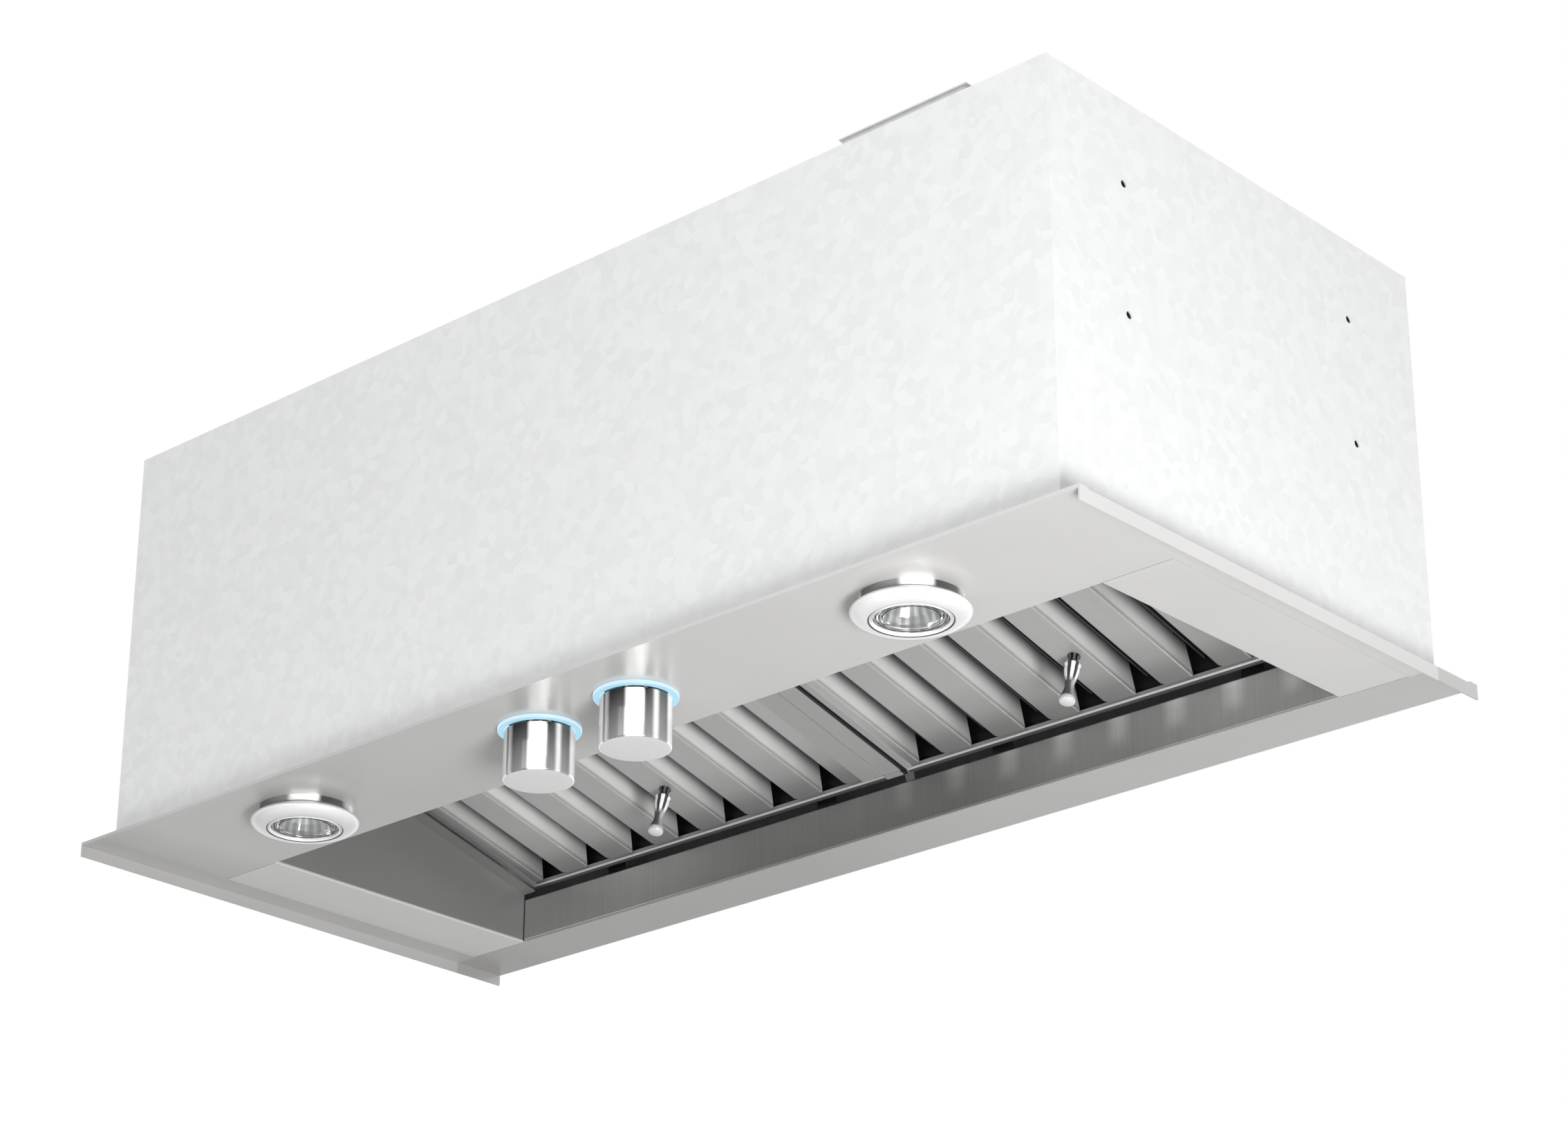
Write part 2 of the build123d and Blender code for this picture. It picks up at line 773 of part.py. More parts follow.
# ---------------------------------------------------------------- lamps
def make_lamp(x, name):
    """A drop lamp: turned bezel, retaining ring, glass, reflector bulb and steel can."""
    pan = level(0)
    r, t, drop = lamp_bore_radius, lamp_neck_radius, lamp_drop
    with BuildPart() as bezel:
        with BuildSketch(Plane(origin=(x, control_y, pan), x_dir=(1, 0, 0), z_dir=(0, -1, 0))):
            with BuildLine():
                Polyline((r, -drop), (r, 9), (t - 1.0, 9), (t - 1.0, 0), (t, 0))
                Line((t, 0), (t, -lamp_neck_drop))
                Spline(
                    (t, -lamp_neck_drop),
                    (lamp_flange_radius, -lamp_flange_drop),
                    tangents=((0.8, -0.35), (0, -1)),
                )
                EllipticalCenterArc(
                    (lamp_rim_radius, -lamp_flange_drop),
                    lamp_flange_radius - lamp_rim_radius,
                    drop - lamp_flange_drop,
                    start_angle=-90,
                    arc_size=90,
                )
                Line((lamp_rim_radius, -drop), (r, -drop))
            make_face()
        revolve(axis=Axis((x, control_y, 0), (0, 0, 1)))
    save(bezel, f"{name}_lamp_bezel")

    ring_low = pan - drop + 0.1
    ring_high = ring_low + 1.8
    with BuildPart() as ring:
        turned(
            x,
            control_y,
            [
                (r - 2.6, ring_low + 0.5),
                (r - 2.1, ring_low),
                (r - 0.7, ring_low),
                (r - 0.05, ring_low + 0.7),
                (r - 0.05, ring_high),
                (r - 2.6, ring_high),
            ],
        )
    save(ring, f"{name}_lamp_ring")

    glass_high = ring_high + 1.3
    with BuildPart() as glass:
        turned(
            x,
            control_y,
            [(0, ring_high), (r - 0.5, ring_high), (r - 0.5, glass_high), (0, glass_high)],
        )
    save(glass, f"{name}_lamp_glass")

    rim = glass_high
    depth = bulb_depth
    with BuildPart() as bulb:
        with BuildSketch(Plane(origin=(x, control_y, rim), x_dir=(1, 0, 0), z_dir=(0, -1, 0))):
            with BuildLine():
                bowl = Spline(
                    (bulb_rim_radius, 1.5),
                    (bulb_rim_radius * 0.86, depth * 0.42),
                    (bulb_rim_radius * 0.58, depth * 0.8),
                    (9.0, depth),
                    tangents=((-0.1, 1), (-1, 0.5)),
                )
                Polyline(bowl @ 1, (9.0, bulb_length), (0, bulb_length), (0, depth - 3))
                Line((0, depth - 3), (7.5, depth - 1.8))
                inner = Spline(
                    (7.5, depth - 1.8),
                    (bulb_rim_radius * 0.5, depth * 0.72),
                    (bulb_rim_radius * 0.79, depth * 0.36),
                    (bulb_rim_radius - 1.6, 0),
                )
                Polyline(inner @ 1, (bulb_rim_radius, 0), (bulb_rim_radius, 1.5))
            make_face()
        revolve(axis=Axis((x, control_y, 0), (0, 0, 1)))
        rod(3.6, (x, control_y, rim + 9), (x, control_y, rim + depth - 2))
    save(bulb, f"{name}_lamp_bulb")

    with BuildPart() as can:
        low, top = level(pan_sheet), level(lamp_can_height)
        inner = t - 1.0 + lamp_can_gap
        outer = inner + body_sheet
        turned(
            x,
            control_y,
            [
                (outer, low),
                (outer, top),
                (0, top),
                (0, top - body_sheet),
                (inner, top - body_sheet),
                (inner, low),
            ],
        )
        for side in (-1, 1):
            ear = sorted((x + side * (outer - 0.5), x + side * (outer + lamp_can_ear)))
            block(ear, (control_y - 7, control_y + 7), (low, low + body_sheet))
    save(can, f"{name}_lamp_can")
    return rim + bulb_length


def make_lampholders(seat):
    """Ceramic holders that grip the bulbs' necks and hang from the cans."""
    with BuildPart() as holders:
        for x in (-lamp_offset_x, lamp_offset_x):
            turned(
                x,
                control_y,
                [
                    (0, seat),
                    (lampholder_radius - 1.5, seat),
                    (lampholder_radius, seat + 3),
                    (lampholder_radius, seat + lampholder_height),
                    (8, seat + lampholder_height + 4),
                    (8, level(lamp_can_height) - body_sheet),
                    (0, level(lamp_can_height) - body_sheet),
                ],
            )
    save(holders, "lampholders")


# ---------------------------------------------------------------- controls
board_height = 6.7
board_sheet = 1.6
bracket_height = board_height + board_sheet
stud_height = bracket_height - 3.0
knob_top = -halo_thickness - knob_air_gap


def make_halo(x, name):
    """A translucent ring round a knob's base, with a sleeve up through the pan."""
    rb, rs, rf = halo_bore_radius, halo_sleeve_radius, halo_radius
    with BuildPart() as halo:
        turned(
            x,
            control_y,
            [
                (rb, level(-halo_thickness)),
                (rf - 1.2, level(-halo_thickness)),
                (rf, level(-halo_thickness + 1.2)),
                (rf, level(0)),
                (rs, level(0)),
                (rs, level(board_height - 0.3)),
                (rb, level(board_height - 0.3)),
            ],
        )
    save(halo, name)


def make_halo_boards():
    """Ring boards with the lights for the halos, under the switch bracket."""
    with BuildPart() as boards:
        for x in (-knob_spacing / 2, knob_spacing / 2):
            low, high = level(board_height), level(bracket_height)
            outer, bore = halo_sleeve_radius, 10.0
            turned(x, control_y, [(bore, low), (outer, low), (outer, high), (bore, high)])
    save(boards, "halo_light_boards")


def make_switch_bracket():
    """A hat of folded sheet that carries both switches above the pan."""
    with BuildPart() as bracket:
        half = knob_spacing / 2 + switch_bracket_margin
        low, high = level(bracket_height), level(bracket_height + pan_sheet)
        deep = (control_y - switch_bracket_depth / 2, control_y + switch_bracket_depth / 2)
        block((-half, half), deep, (low, high))
        for side in (-1, 1):
            leg = sorted((side * half, side * (half - pan_sheet)))
            block(leg, deep, (level(pan_sheet), low))
            foot = sorted((side * half, side * (half + body_flange)))
            block(foot, deep, (level(pan_sheet), level(2 * pan_sheet)))
        for x in (-knob_spacing / 2, knob_spacing / 2):
            rod(5.1, (x, control_y, low - 1), (x, control_y, high + 1), mode=Mode.SUBTRACT)
    save(bracket, "switch_bracket")


def make_switch(x, name):
    """A rotary switch body with a bushing down through the bracket, bored for its shaft."""
    base = level(bracket_height + pan_sheet)
    with BuildPart() as switch:
        half = switch_size / 2
        block((x - half, x + half), (control_y - half, control_y + half), (base, base + switch_height))
        fillet(switch.edges().filter_by(Axis.Z), radius=4)
        rod(5.0, (x, control_y, level(stud_height)), (x, control_y, base))
        rod(
            shaft_radius + shaft_clearance,
            (x, control_y, level(stud_height) - 1),
            (x, control_y, base + switch_height * 0.6),
            mode=Mode.SUBTRACT,
        )
        for side in (-1, 1):
            tab = (x + side * 10 - 2, x + side * 10 + 2)
            block(tab, (control_y - 0.5, control_y + 0.5), (base + switch_height, base + switch_height + 7))
    save(switch, name)


def make_switch_nuts():
    """Hexagon nuts that clamp the bushings to the bracket from below."""
    with BuildPart() as nuts:
        for x in (-knob_spacing / 2, knob_spacing / 2):
            with BuildSketch(Plane(origin=(x, control_y, level(bracket_height - 2.6)))):
                RegularPolygon(radius=8.0, side_count=6)
                Circle(5.0, mode=Mode.SUBTRACT)
            extrude(amount=2.6)
    save(nuts, "switch_nuts")


def make_knob(x, name):
    """A turned knob with a crisp end, hollow round its hub, and its switch shaft."""
    top, end = level(knob_top), level(knob_top - knob_length)
    hub, wall = 7.0, 3.0
    with BuildPart() as knob:
        turned(
            x,
            control_y,
            [
                (shaft_radius, top),
                (hub, top),
                (hub, end + 12),
                (knob_radius - wall, end + 12),
                (knob_radius - wall, top),
                (knob_radius - 0.5, top),
                (knob_radius, top - 0.5),
                (knob_radius, end + 0.7),
                (knob_radius - 0.7, end),
                (0, end),
                (0, end + 8),
                (shaft_radius, end + 8),
            ],
        )
    save(knob, f"{name}_knob")
    with BuildPart() as shaft:
        top_end = level(bracket_height + pan_sheet + switch_height * 0.55)
        rod(shaft_radius, (x, control_y, end + 8), (x, control_y, top_end))
    save(shaft, f"{name}_shaft")


def make_lamp_driver():
    """The lamps' electronic transformer, which stands on the pan inside the compartment."""
    with BuildPart() as driver:
        start = knob_spacing / 2 + switch_bracket_margin + driver_gap
        x = (start, start + driver_length)
        y = (control_y - driver_depth / 2, control_y + driver_depth / 2)
        base = level(pan_sheet)
        block(x, y, (base, base + driver_height))
        fillet(driver.edges().filter_by(Axis.Z), radius=3)
        feet = (x[0] - driver_ear, x[1] + driver_ear)
        block(feet, (control_y - driver_ear, control_y + driver_ear), (base, base + 1.5))
        for ear in (x[0] - driver_ear / 2, x[1] + driver_ear / 2):
            rod(2.0, (ear, control_y, base - 1), (ear, control_y, base + 3), mode=Mode.SUBTRACT)
    save(driver, "lamp_driver")


# ---------------------------------------------------------------- blower
wheel_z = level(blower_height)
top_under = level(body_height - body_sheet)
arc_y = blower_y + scroll_step / 2
arc_z = wheel_z - scroll_step / 2
front_wall_y = arc_y - scroll_step - (scroll_radius + 2 * scroll_step)
rear_wall_y = front_wall_y + outlet_depth


def scroll_section(x, inset, top):
    """Spiral of three growing arcs with a straight outlet, across the wheel's axis at x."""
    grow = scroll_step
    r1 = scroll_radius - inset
    r2, r3 = r1 + grow, r1 + 2 * grow
    start_y = rear_wall_y - inset
    start_z = arc_z + math.sqrt(r1 ** 2 - (start_y - arc_y) ** 2)
    mid = math.atan2(start_z - arc_z, start_y - arc_y) / 2
    diag = math.sqrt(0.5)
    c2 = (arc_y - grow, arc_z)
    c3 = (arc_y - grow, arc_z + grow)
    with BuildSketch(Plane(origin=(x, 0, 0), x_dir=(0, 1, 0), z_dir=(1, 0, 0))) as section:
        with BuildLine():
            Line((start_y, top), (start_y, start_z))
            ThreePointArc(
                (start_y, start_z),
                (arc_y + r1 * math.cos(mid), arc_z + r1 * math.sin(mid)),
                (arc_y + r1, arc_z),
            )
            ThreePointArc(
                (arc_y + r1, arc_z),
                (c2[0] + r2 * diag, c2[1] - r2 * diag),
                (c2[0], c2[1] - r2),
            )
            ThreePointArc(
                (c2[0], c2[1] - r2),
                (c3[0] - r3 * diag, c3[1] - r3 * diag),
                (c3[0] - r3, c3[1]),
            )
            Line((c3[0] - r3, c3[1]), (c3[0] - r3, top))
            Line((c3[0] - r3, top), (start_y, top))
        make_face()
    return section.sketch


def make_scroll():
    """The volute: a spiral wrap seamed to two side plates, open at the outlet and inlets."""
    half = scroll_width / 2
    inner = half - body_sheet - scroll_seam
    rim_z = (top_under - body_sheet, top_under)
    with BuildPart() as scroll:
        extrude(scroll_section(-inner, 0.0, top_under), amount=2 * inner)
        hollow = scroll_section(-inner - 1, body_sheet, top_under + 1)
        extrude(hollow, amount=2 * inner + 2, mode=Mode.SUBTRACT)
        block((-inner, inner), (front_wall_y - scroll_flange, front_wall_y), rim_z)
        block((-inner, inner), (rear_wall_y, rear_wall_y + scroll_flange), rim_z)
        for x in (-half, half - body_sheet):
            extrude(scroll_section(x, 0.0, top_under), amount=body_sheet)
        rod(
            inlet_radius,
            (-half - 1, blower_y, wheel_z),
            (half + 1, blower_y, wheel_z),
            mode=Mode.SUBTRACT,
        )
        y = (front_wall_y - scroll_flange, rear_wall_y + scroll_flange)
        for x in ((-half - scroll_flange, -half), (half, half + scroll_flange)):
            block(x, y, rim_z)
    save(scroll, "blower_scroll")


def make_inlet_rings():
    """Bell mouths that lead the air into both sides of the wheel."""
    half = scroll_width / 2
    with BuildPart() as rings:
        for side in (-1, 1):
            mouth = Plane(
                origin=(side * half, blower_y, wheel_z), x_dir=(side, 0, 0), z_dir=(0, -1, 0)
            )
            with BuildSketch(mouth):
                with BuildLine():
                    Polyline((0, inlet_radius + 9), (0, inlet_radius), (-3, inlet_radius))
                    Line((-3, inlet_radius), (-3, inlet_radius - 1))
                    Line((-3, inlet_radius - 1), (1, inlet_radius - 1))
                    CenterArc((1, inlet_radius + 4), 5, -90, 90)
                    Line((6, inlet_radius + 4), (5, inlet_radius + 4))
                    CenterArc((1, inlet_radius + 4), 4, 0, -90)
                    Line((1, inlet_radius), (1, inlet_radius + 9))
                    Line((1, inlet_radius + 9), (0, inlet_radius + 9))
                make_face()
            revolve(axis=Axis((0, blower_y, wheel_z), (1, 0, 0)))
    save(rings, "blower_inlet_rings")


def make_impeller():
    """Double-inlet squirrel-cage wheel: end rings, and a centre disc on a bored hub."""
    half = wheel_width / 2
    across = Plane(origin=(-half, blower_y, wheel_z), x_dir=(0, 1, 0), z_dir=(1, 0, 0))
    with BuildPart() as wheel:
        for x in (0, wheel_width - wheel_ring):
            with BuildSketch(across.offset(x)):
                Circle(wheel_radius)
                Circle(wheel_radius - 5, mode=Mode.SUBTRACT)
            extrude(amount=wheel_ring)
        with BuildSketch(across.offset(half - 0.8)):
            Circle(wheel_radius - blade_depth - 0.1)
        extrude(amount=1.6)
        with BuildSketch(across.offset(half - hub_length / 2)):
            Circle(hub_radius)
        extrude(amount=hub_length)
        with BuildSketch(across.offset(wheel_ring + 1)):
            Circle(motor_shaft_radius)
        extrude(amount=wheel_width - 2 * wheel_ring - 2, mode=Mode.SUBTRACT)
    save(wheel, "impeller")


def make_impeller_blades():
    """Forward-curved blades in a ring, from one end ring of the wheel to the other."""
    start = wheel_ring - wheel_width / 2
    across = Plane(origin=(start, blower_y, wheel_z), x_dir=(0, 1, 0), z_dir=(1, 0, 0))
    outer, inner = wheel_radius - 0.6, wheel_radius - blade_depth
    sweep = math.radians(9)
    tip = (outer * math.cos(sweep), outer * math.sin(sweep))
    with BuildSketch() as blade:
        with BuildLine():
            belly = ((inner + tip[0]) / 2 + 1.2, tip[1] / 2 - 1.8)
            ThreePointArc((inner, 0), belly, tip)
            offset(amount=0.8, side=Side.LEFT)
        make_face()
    with BuildPart() as blades:
        with BuildSketch(across):
            with PolarLocations(0, blade_count):
                add(blade.sketch)
        extrude(amount=wheel_width - 2 * wheel_ring)
    save(blades, "impeller_blades")


def make_motor():
    """Motor body, its shaft and the three-armed bracket that holds it before one inlet."""
    face = -scroll_width / 2 - motor_gap
    tail = face - motor_length
    axis = (blower_y, wheel_z)
    with BuildPart() as motor:
        rod(motor_radius, (tail, *axis), (face, *axis))
        ends = motor.edges().filter_by(GeomType.CIRCLE)
        fillet(ends, radius=5)
        rod(14, (face, *axis), (face + 4, *axis))
        rod(14, (tail - 4, *axis), (tail, *axis))
        rod(
            motor_shaft_radius + shaft_clearance,
            (tail + 6, *axis),
            (face + 6, *axis),
            mode=Mode.SUBTRACT,
        )
    save(motor, "blower_motor")
    with BuildPart() as shaft:
        rod(motor_shaft_radius, (tail + 8, *axis), (hub_length / 2 + shaft_tail, *axis))
    save(shaft, "motor_shaft")
    middle = (face + tail) / 2
    plate = -scroll_width / 2 - 1.0
    with BuildPart() as bracket:
        rod(motor_radius + 3, (middle - 6, *axis), (middle + 6, *axis))
        across = Plane(origin=(middle, *axis), x_dir=(0, 1, 0), z_dir=(1, 0, 0))
        with BuildSketch(across.offset(4)):
            with PolarLocations(motor_radius + 14, 3, start_angle=90):
                Rectangle(28, 14)
        extrude(amount=2)
        foot = 60.0
        with BuildSketch(across.offset(4)):
            with PolarLocations(foot + 2.5, 3, start_angle=90):
                Rectangle(3, 14)
        extrude(amount=plate - 1.0 - (middle + 4) + 2.0)
        rod(motor_radius, (middle - 7, *axis), (middle + 7, *axis), mode=Mode.SUBTRACT)
    save(bracket, "motor_bracket")


# ---------------------------------------------------------------- duct collar and damper
def make_collar():
    """Round duct collar on a flanged base, drilled for the damper pin and with flap stops."""
    inner = collar_radius - collar_sheet
    with BuildPart() as collar:
        turned(
            0,
            0,
            [
                (inner, 0),
                (collar_flange_radius, 0),
                (collar_flange_radius, collar_sheet),
                (collar_radius, collar_sheet),
                (collar_radius, collar_height),
                (inner, collar_height),
            ],
        )
        half = collar_radius + 1
        rod(
            damper_pin_radius,
            (-half, 0, damper_height),
            (half, 0, damper_height),
            mode=Mode.SUBTRACT,
        )
        stop_top = damper_height - flap_sheet / 2 - 0.3
        for side in (-1, 1):
            deep = sorted((side * (inner - 7), side * (inner + 0.5)))
            block((-8, 8), deep, (stop_top - 1.0, stop_top))
    save(collar, "duct_collar")


def make_damper():
    """Hinge pin and the two half-round flaps of the backdraft damper."""
    inner = collar_radius - collar_sheet
    with BuildPart() as pin:
        half = collar_radius
        rod(damper_pin_radius, (-half, 0, damper_height), (half, 0, damper_height))
    save(pin, "damper_pin")
    knuckle = damper_pin_radius + damper_clearance + flap_sheet
    for side, name in ((-1, "front_damper_flap"), (1, "rear_damper_flap")):
        with BuildPart() as flap:
            with BuildSketch(Plane.XY.offset(damper_height - flap_sheet / 2)):
                Circle(inner - damper_gap)
                with Locations((0, -side * inner)):
                    Rectangle(2 * inner, 2 * inner + 2 * knuckle + 1.2, mode=Mode.SUBTRACT)
            extrude(amount=flap_sheet)
            for spot in range(-2, 2):
                low = spot * 34.0 + (2.0 if side > 0 else 19.0)
                x = (low, low + 13.0)
                y = sorted((0, side * (knuckle + 1.5)))
                block(x, y, (damper_height - flap_sheet / 2, damper_height + flap_sheet / 2))
                rod(knuckle, (x[0], 0, damper_height), (x[1], 0, damper_height))
            rod(
                damper_pin_radius + damper_clearance,
                (-inner, 0, damper_height),
                (inner, 0, damper_height),
                mode=Mode.SUBTRACT,
            )
        save(flap, name)


# ---------------------------------------------------------------- electrical box and screws
def make_junction_box():
    """Wiring box of welded sheets on the lid, with a knockout, tabs and a screwed cover."""
    x = (box_x - box_length / 2, box_x + box_length / 2)
    y = (box_y - box_depth / 2, box_y + box_depth / 2)
    t = body_sheet
    inset = t + box_seam
    walls = (inset, box_height)
    with BuildPart() as box:
        block(x, y, (0, t))
        rod(wiring_hole_radius, (box_x, box_y, -1), (box_x, box_y, t + 1), mode=Mode.SUBTRACT)
        for end in ((x[0], x[0] + t), (x[1] - t, x[1])):
            block(end, y, walls)
        for long in ((y[0], y[0] + t), (y[1] - t, y[1])):
            block((x[0] + inset, x[1] - inset), long, walls)
        rod(
            knockout_radius,
            (x[1] - 5, box_y, box_height / 2),
            (x[1] + 5, box_y, box_height / 2),
            mode=Mode.SUBTRACT,
        )
        tab_y = (y[0] + inset, y[0] + inset + box_tab)
        for end in ((x[0] + inset, x[0] + inset + box_tab), (x[1] - inset - box_tab, x[1] - inset)):
            block(end, tab_y, (box_height - t, box_height))
    save(box, "junction_box")
    with BuildPart() as cover:
        block((x[0] - 1.5, x[1] + 1.5), (y[0] - 1.5, y[1] + 1.5), (box_height, box_height + t))
    save(cover, "junction_box_cover")


def make_screws():
    """Pan-head screws of the lid, the collar, the wiring box's cover and the driver."""
    with BuildPart() as screws:
        side_x = body_x - lid_screw_inset
        end_y = body_rear - lid_screw_inset
        for share in (-0.75, 0, 0.75):
            for side in (-1, 1):
                screw_head(side * side_x, share * end_y, 0)
                screw_head(share * side_x, side * end_y, 0)
        for turn in range(4):
            angle = math.radians(45 + 90 * turn)
            reach = (collar_radius + collar_flange_radius) / 2
            screw_head(reach * math.cos(angle), reach * math.sin(angle), collar_sheet)
        for x in (box_x - box_length / 2 + 6, box_x + box_length / 2 - 6):
            screw_head(x, box_y - box_depth / 2 + 6, box_height + body_sheet)
    save(screws, "housing_screws")


make_bottom_pan()
make_side_liner(-1, "left_side_liner", left_ledge)
make_side_liner(1, "right_side_liner", 0.0)
make_rear_liner()
make_compartment_cover()
make_front_and_rear_panels()
make_side_panel(-1, "left_side_panel")
make_side_panel(1, "right_side_panel")
make_top_cover()
make_hanger_plates()
make_pivot_rod()
make_pivot_brackets()
make_centre_mullion()
make_filter_catches()
for filter_x, filter_name in ((left_filter_x, "left_filter"), (right_filter_x, "right_filter")):
    make_filter_frame(filter_x, filter_name)
    make_lower_baffles(filter_x, filter_name)
    make_upper_baffles(filter_x, filter_name)
    make_filter_pull(filter_x, filter_name)
for lamp_x, lamp_name in ((-lamp_offset_x, "left"), (lamp_offset_x, "right")):
    holder_seat = make_lamp(lamp_x, lamp_name)
make_lampholders(holder_seat)
make_halo(-knob_spacing / 2, "fan_halo_ring")
make_halo(knob_spacing / 2, "light_halo_ring")
make_halo_boards()
make_switch_bracket()
make_switch(-knob_spacing / 2, "fan_speed_switch")
make_switch(knob_spacing / 2, "light_dimmer")
make_switch_nuts()
make_knob(-knob_spacing / 2, "fan")
make_knob(knob_spacing / 2, "light")
make_lamp_driver()
make_scroll()
make_inlet_rings()
make_impeller()
make_impeller_blades()
make_motor()
make_collar()
make_damper()
make_junction_box()
make_screws()
print("pivot height", round(pivot_height, 2), "filter reach", round(filter_end, 2))
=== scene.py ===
"""Looks of a built-in range hood insert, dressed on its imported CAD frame.

The steel pan, recess, housing, filters and blower are the frame's own solids with procedural
finishes. Turned and polished pieces are modelled here: control knobs, lit halo rings, lamp
bezels with their rings, glasses and reflectors, filter pulls and the screws of the lid.
"""

import math

import bmesh
import bpy
from bpy.props import FloatProperty, FloatVectorProperty, IntProperty, PointerProperty
from mathutils import Matrix, Vector


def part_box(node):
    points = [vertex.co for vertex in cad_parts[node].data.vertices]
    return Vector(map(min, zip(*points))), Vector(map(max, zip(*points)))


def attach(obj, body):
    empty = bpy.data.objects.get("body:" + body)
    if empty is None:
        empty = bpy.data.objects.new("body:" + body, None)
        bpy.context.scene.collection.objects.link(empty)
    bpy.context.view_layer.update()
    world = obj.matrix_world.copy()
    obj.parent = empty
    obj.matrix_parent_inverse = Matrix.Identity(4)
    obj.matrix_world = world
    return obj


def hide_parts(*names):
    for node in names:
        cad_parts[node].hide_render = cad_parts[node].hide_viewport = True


bl_info = {
    "name": "Range hood insert",
    "version": (1, 0, 0),
    "blender": (4, 5, 0),
    "location": "View3D > Sidebar > Hood",
    "description": "Finishes and turned pieces for a built-in range hood insert",
    "category": "Object",
}

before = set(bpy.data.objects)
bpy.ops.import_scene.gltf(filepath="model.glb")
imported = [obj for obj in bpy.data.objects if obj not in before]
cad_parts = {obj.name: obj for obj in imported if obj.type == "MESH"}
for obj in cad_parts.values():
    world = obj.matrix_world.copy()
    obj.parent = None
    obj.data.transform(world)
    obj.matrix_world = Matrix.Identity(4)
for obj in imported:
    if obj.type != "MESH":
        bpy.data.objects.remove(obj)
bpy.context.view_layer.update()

MM = 0.001
X_AXIS, Y_AXIS, Z_AXIS = range(3)
RIGHT, LEFT = Vector((1.0, 0.0, 0.0)), Vector((-1.0, 0.0, 0.0))
REARWARD, UP = Vector((0.0, 1.0, 0.0)), Vector((0.0, 0.0, 1.0))

# The pan's underside and its opening.
PAN_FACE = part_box("left_side_liner")[0].z
OPENING_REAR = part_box("rear_liner")[0].y
OPENING_DEPTH = 248.0 * MM
OPENING_HALF = 374.5 * MM
# Painted shade on the pan: direction, begin, length, and the lightness before and after. It
# dims the rear strip, the left half and the left band.
PAN_PAINTED_SHADE = [
    (REARWARD, OPENING_REAR, 1.0 * MM, 1.0, 0.80),
    (LEFT, -100.0 * MM, 200.0 * MM, 1.0, 0.87),
    (LEFT, OPENING_HALF, 30.0 * MM, 1.0, 0.90),
]
# Fine seams beside the opening: how far out they run, half their widths and how they dim, for
# those across the side bands and for those along them.
SEAM_HALF = 427.5 * MM
ACROSS_WIDTH, ACROSS_DIM = 0.4 * MM, -0.5
LENGTH_WIDTH, LENGTH_DIM = 0.35 * MM, -0.16

# The filters rise towards the front.
FILTER_SLOPE = math.radians(15)
SLOPE_COS, SLOPE_SIN = math.cos(FILTER_SLOPE), math.sin(FILTER_SLOPE)
INTO_FILTER = Vector((0.0, SLOPE_SIN, SLOPE_COS))
UP_THE_FILTER = Vector((0.0, -SLOPE_COS, SLOPE_SIN))

# Each list of stops holds places from 0 to 1 and the lightness at each place.
# Painted light and shade by depth into the slots, over SLOT_DEPTH: lower baffles, then frame
# and upper baffles. On the lower baffles it is painted shade by the bends, painted light up
# the slot walls and painted shade deep inside; on the others, painted shade deep inside. The
# metal's share fades out over the first depths.
SLOT_DEPTH = 30.0 * MM
METAL_FADE = (0.03, 0.1)
BAFFLE_PAINTED_LIGHT_AND_SHADE = [
    (0.0, 1.0), (0.006, 0.95), (0.025, 0.80), (0.09, 1.6), (0.20, 2.15), (0.42, 2.0),
    (0.60, 1.5), (0.75, 1.0), (0.88, 0.65), (1.0, 0.25),
]
INNER_PAINTED_SHADE = [(0.0, 1.0), (0.12, 1.0), (0.25, 0.35), (0.5, 0.08), (1.0, 0.05)]
# Painted shade and light by distance from the filters' rear rail: of the baffles over 70 mm,
# darker towards the rail; of the frame over 20 mm, a band of painted shade at the rail, then
# a thin painted highlight.
BAFFLE_REACH, RAIL_REACH = 70.0 * MM, 20.0 * MM
BAFFLE_PAINTED_SHADE_REACHES = [(0.0, 0.45), (0.3, 0.62), (0.55, 0.92), (1.0, 1.15)]
RAIL_PAINTED_SHADE_AND_HIGHLIGHT = [(0.0, 0.2), (0.20, 0.25), (0.22, 1.6), (0.27, 1.6), (0.30, 1.0), (1.0, 1.0)]
# Painted shade of the recess's left wall dims the filters up to SIDE_SHADE_START from it,
# then ever less.
SIDE_SHADE_START, SIDE_SHADE_WIDTH, SIDE_SHADE = 14.0 * MM, 22.0 * MM, 0.33
# Across the rail between the filters, with the dark joint at its right.
MULLION_STOPS = [(0.0, 1.0), (0.86, 1.0), (0.90, 0.08), (1.0, 0.08)]
# Painted shade up the side walls, over LINER_HEIGHT.
LINER_HEIGHT = 40.0 * MM
LINER_PAINTED_SHADE = [(0.0, 1.0), (0.035, 1.0), (0.06, 0.36), (1.0, 0.34)]
# The rear wall's painted shade from left to right, and its pale arcs of painted light: where
# they stand, how narrow and how bright they are, where they fade in from the left, and how
# they rise over WALL_HEIGHT.
WALL_COLOUR, WALL_METAL = (0.51, 0.51, 0.505), 0.8
WALL_PAINTED_SHADE = [
    (0.0, 1.15), (0.12, 1.15), (0.35, 0.68), (0.55, 0.58), (0.75, 0.82), (0.92, 1.0),
    (1.0, 1.05),
]
WALL_HEIGHT = 34.4 * MM
ARC_PITCH, ARC_START = 47.5 * MM, 38.9 * MM
ARC_POWER, ARC_PAINTED_LIGHT = 1.3, 0.8
ARC_FADE = (-50.0 * MM, 120.0 * MM)
ARC_RISE = [(0.0, 0.0), (0.25, 0.0), (0.7, 0.7), (1.0, 1.0)]
# A snap ring from its inner to its outer edge, with lines of painted shade between its ridges.
RING_WIDTH = 2.55 * MM
RING_PAINTED_SHADE_LINES = [
    (0.0, 0.9), (0.22, 0.9), (0.28, 0.12), (0.36, 0.9), (0.52, 0.85), (0.58, 0.15),
    (0.66, 0.9), (0.84, 0.9), (0.90, 0.05), (1.0, 0.5),
]
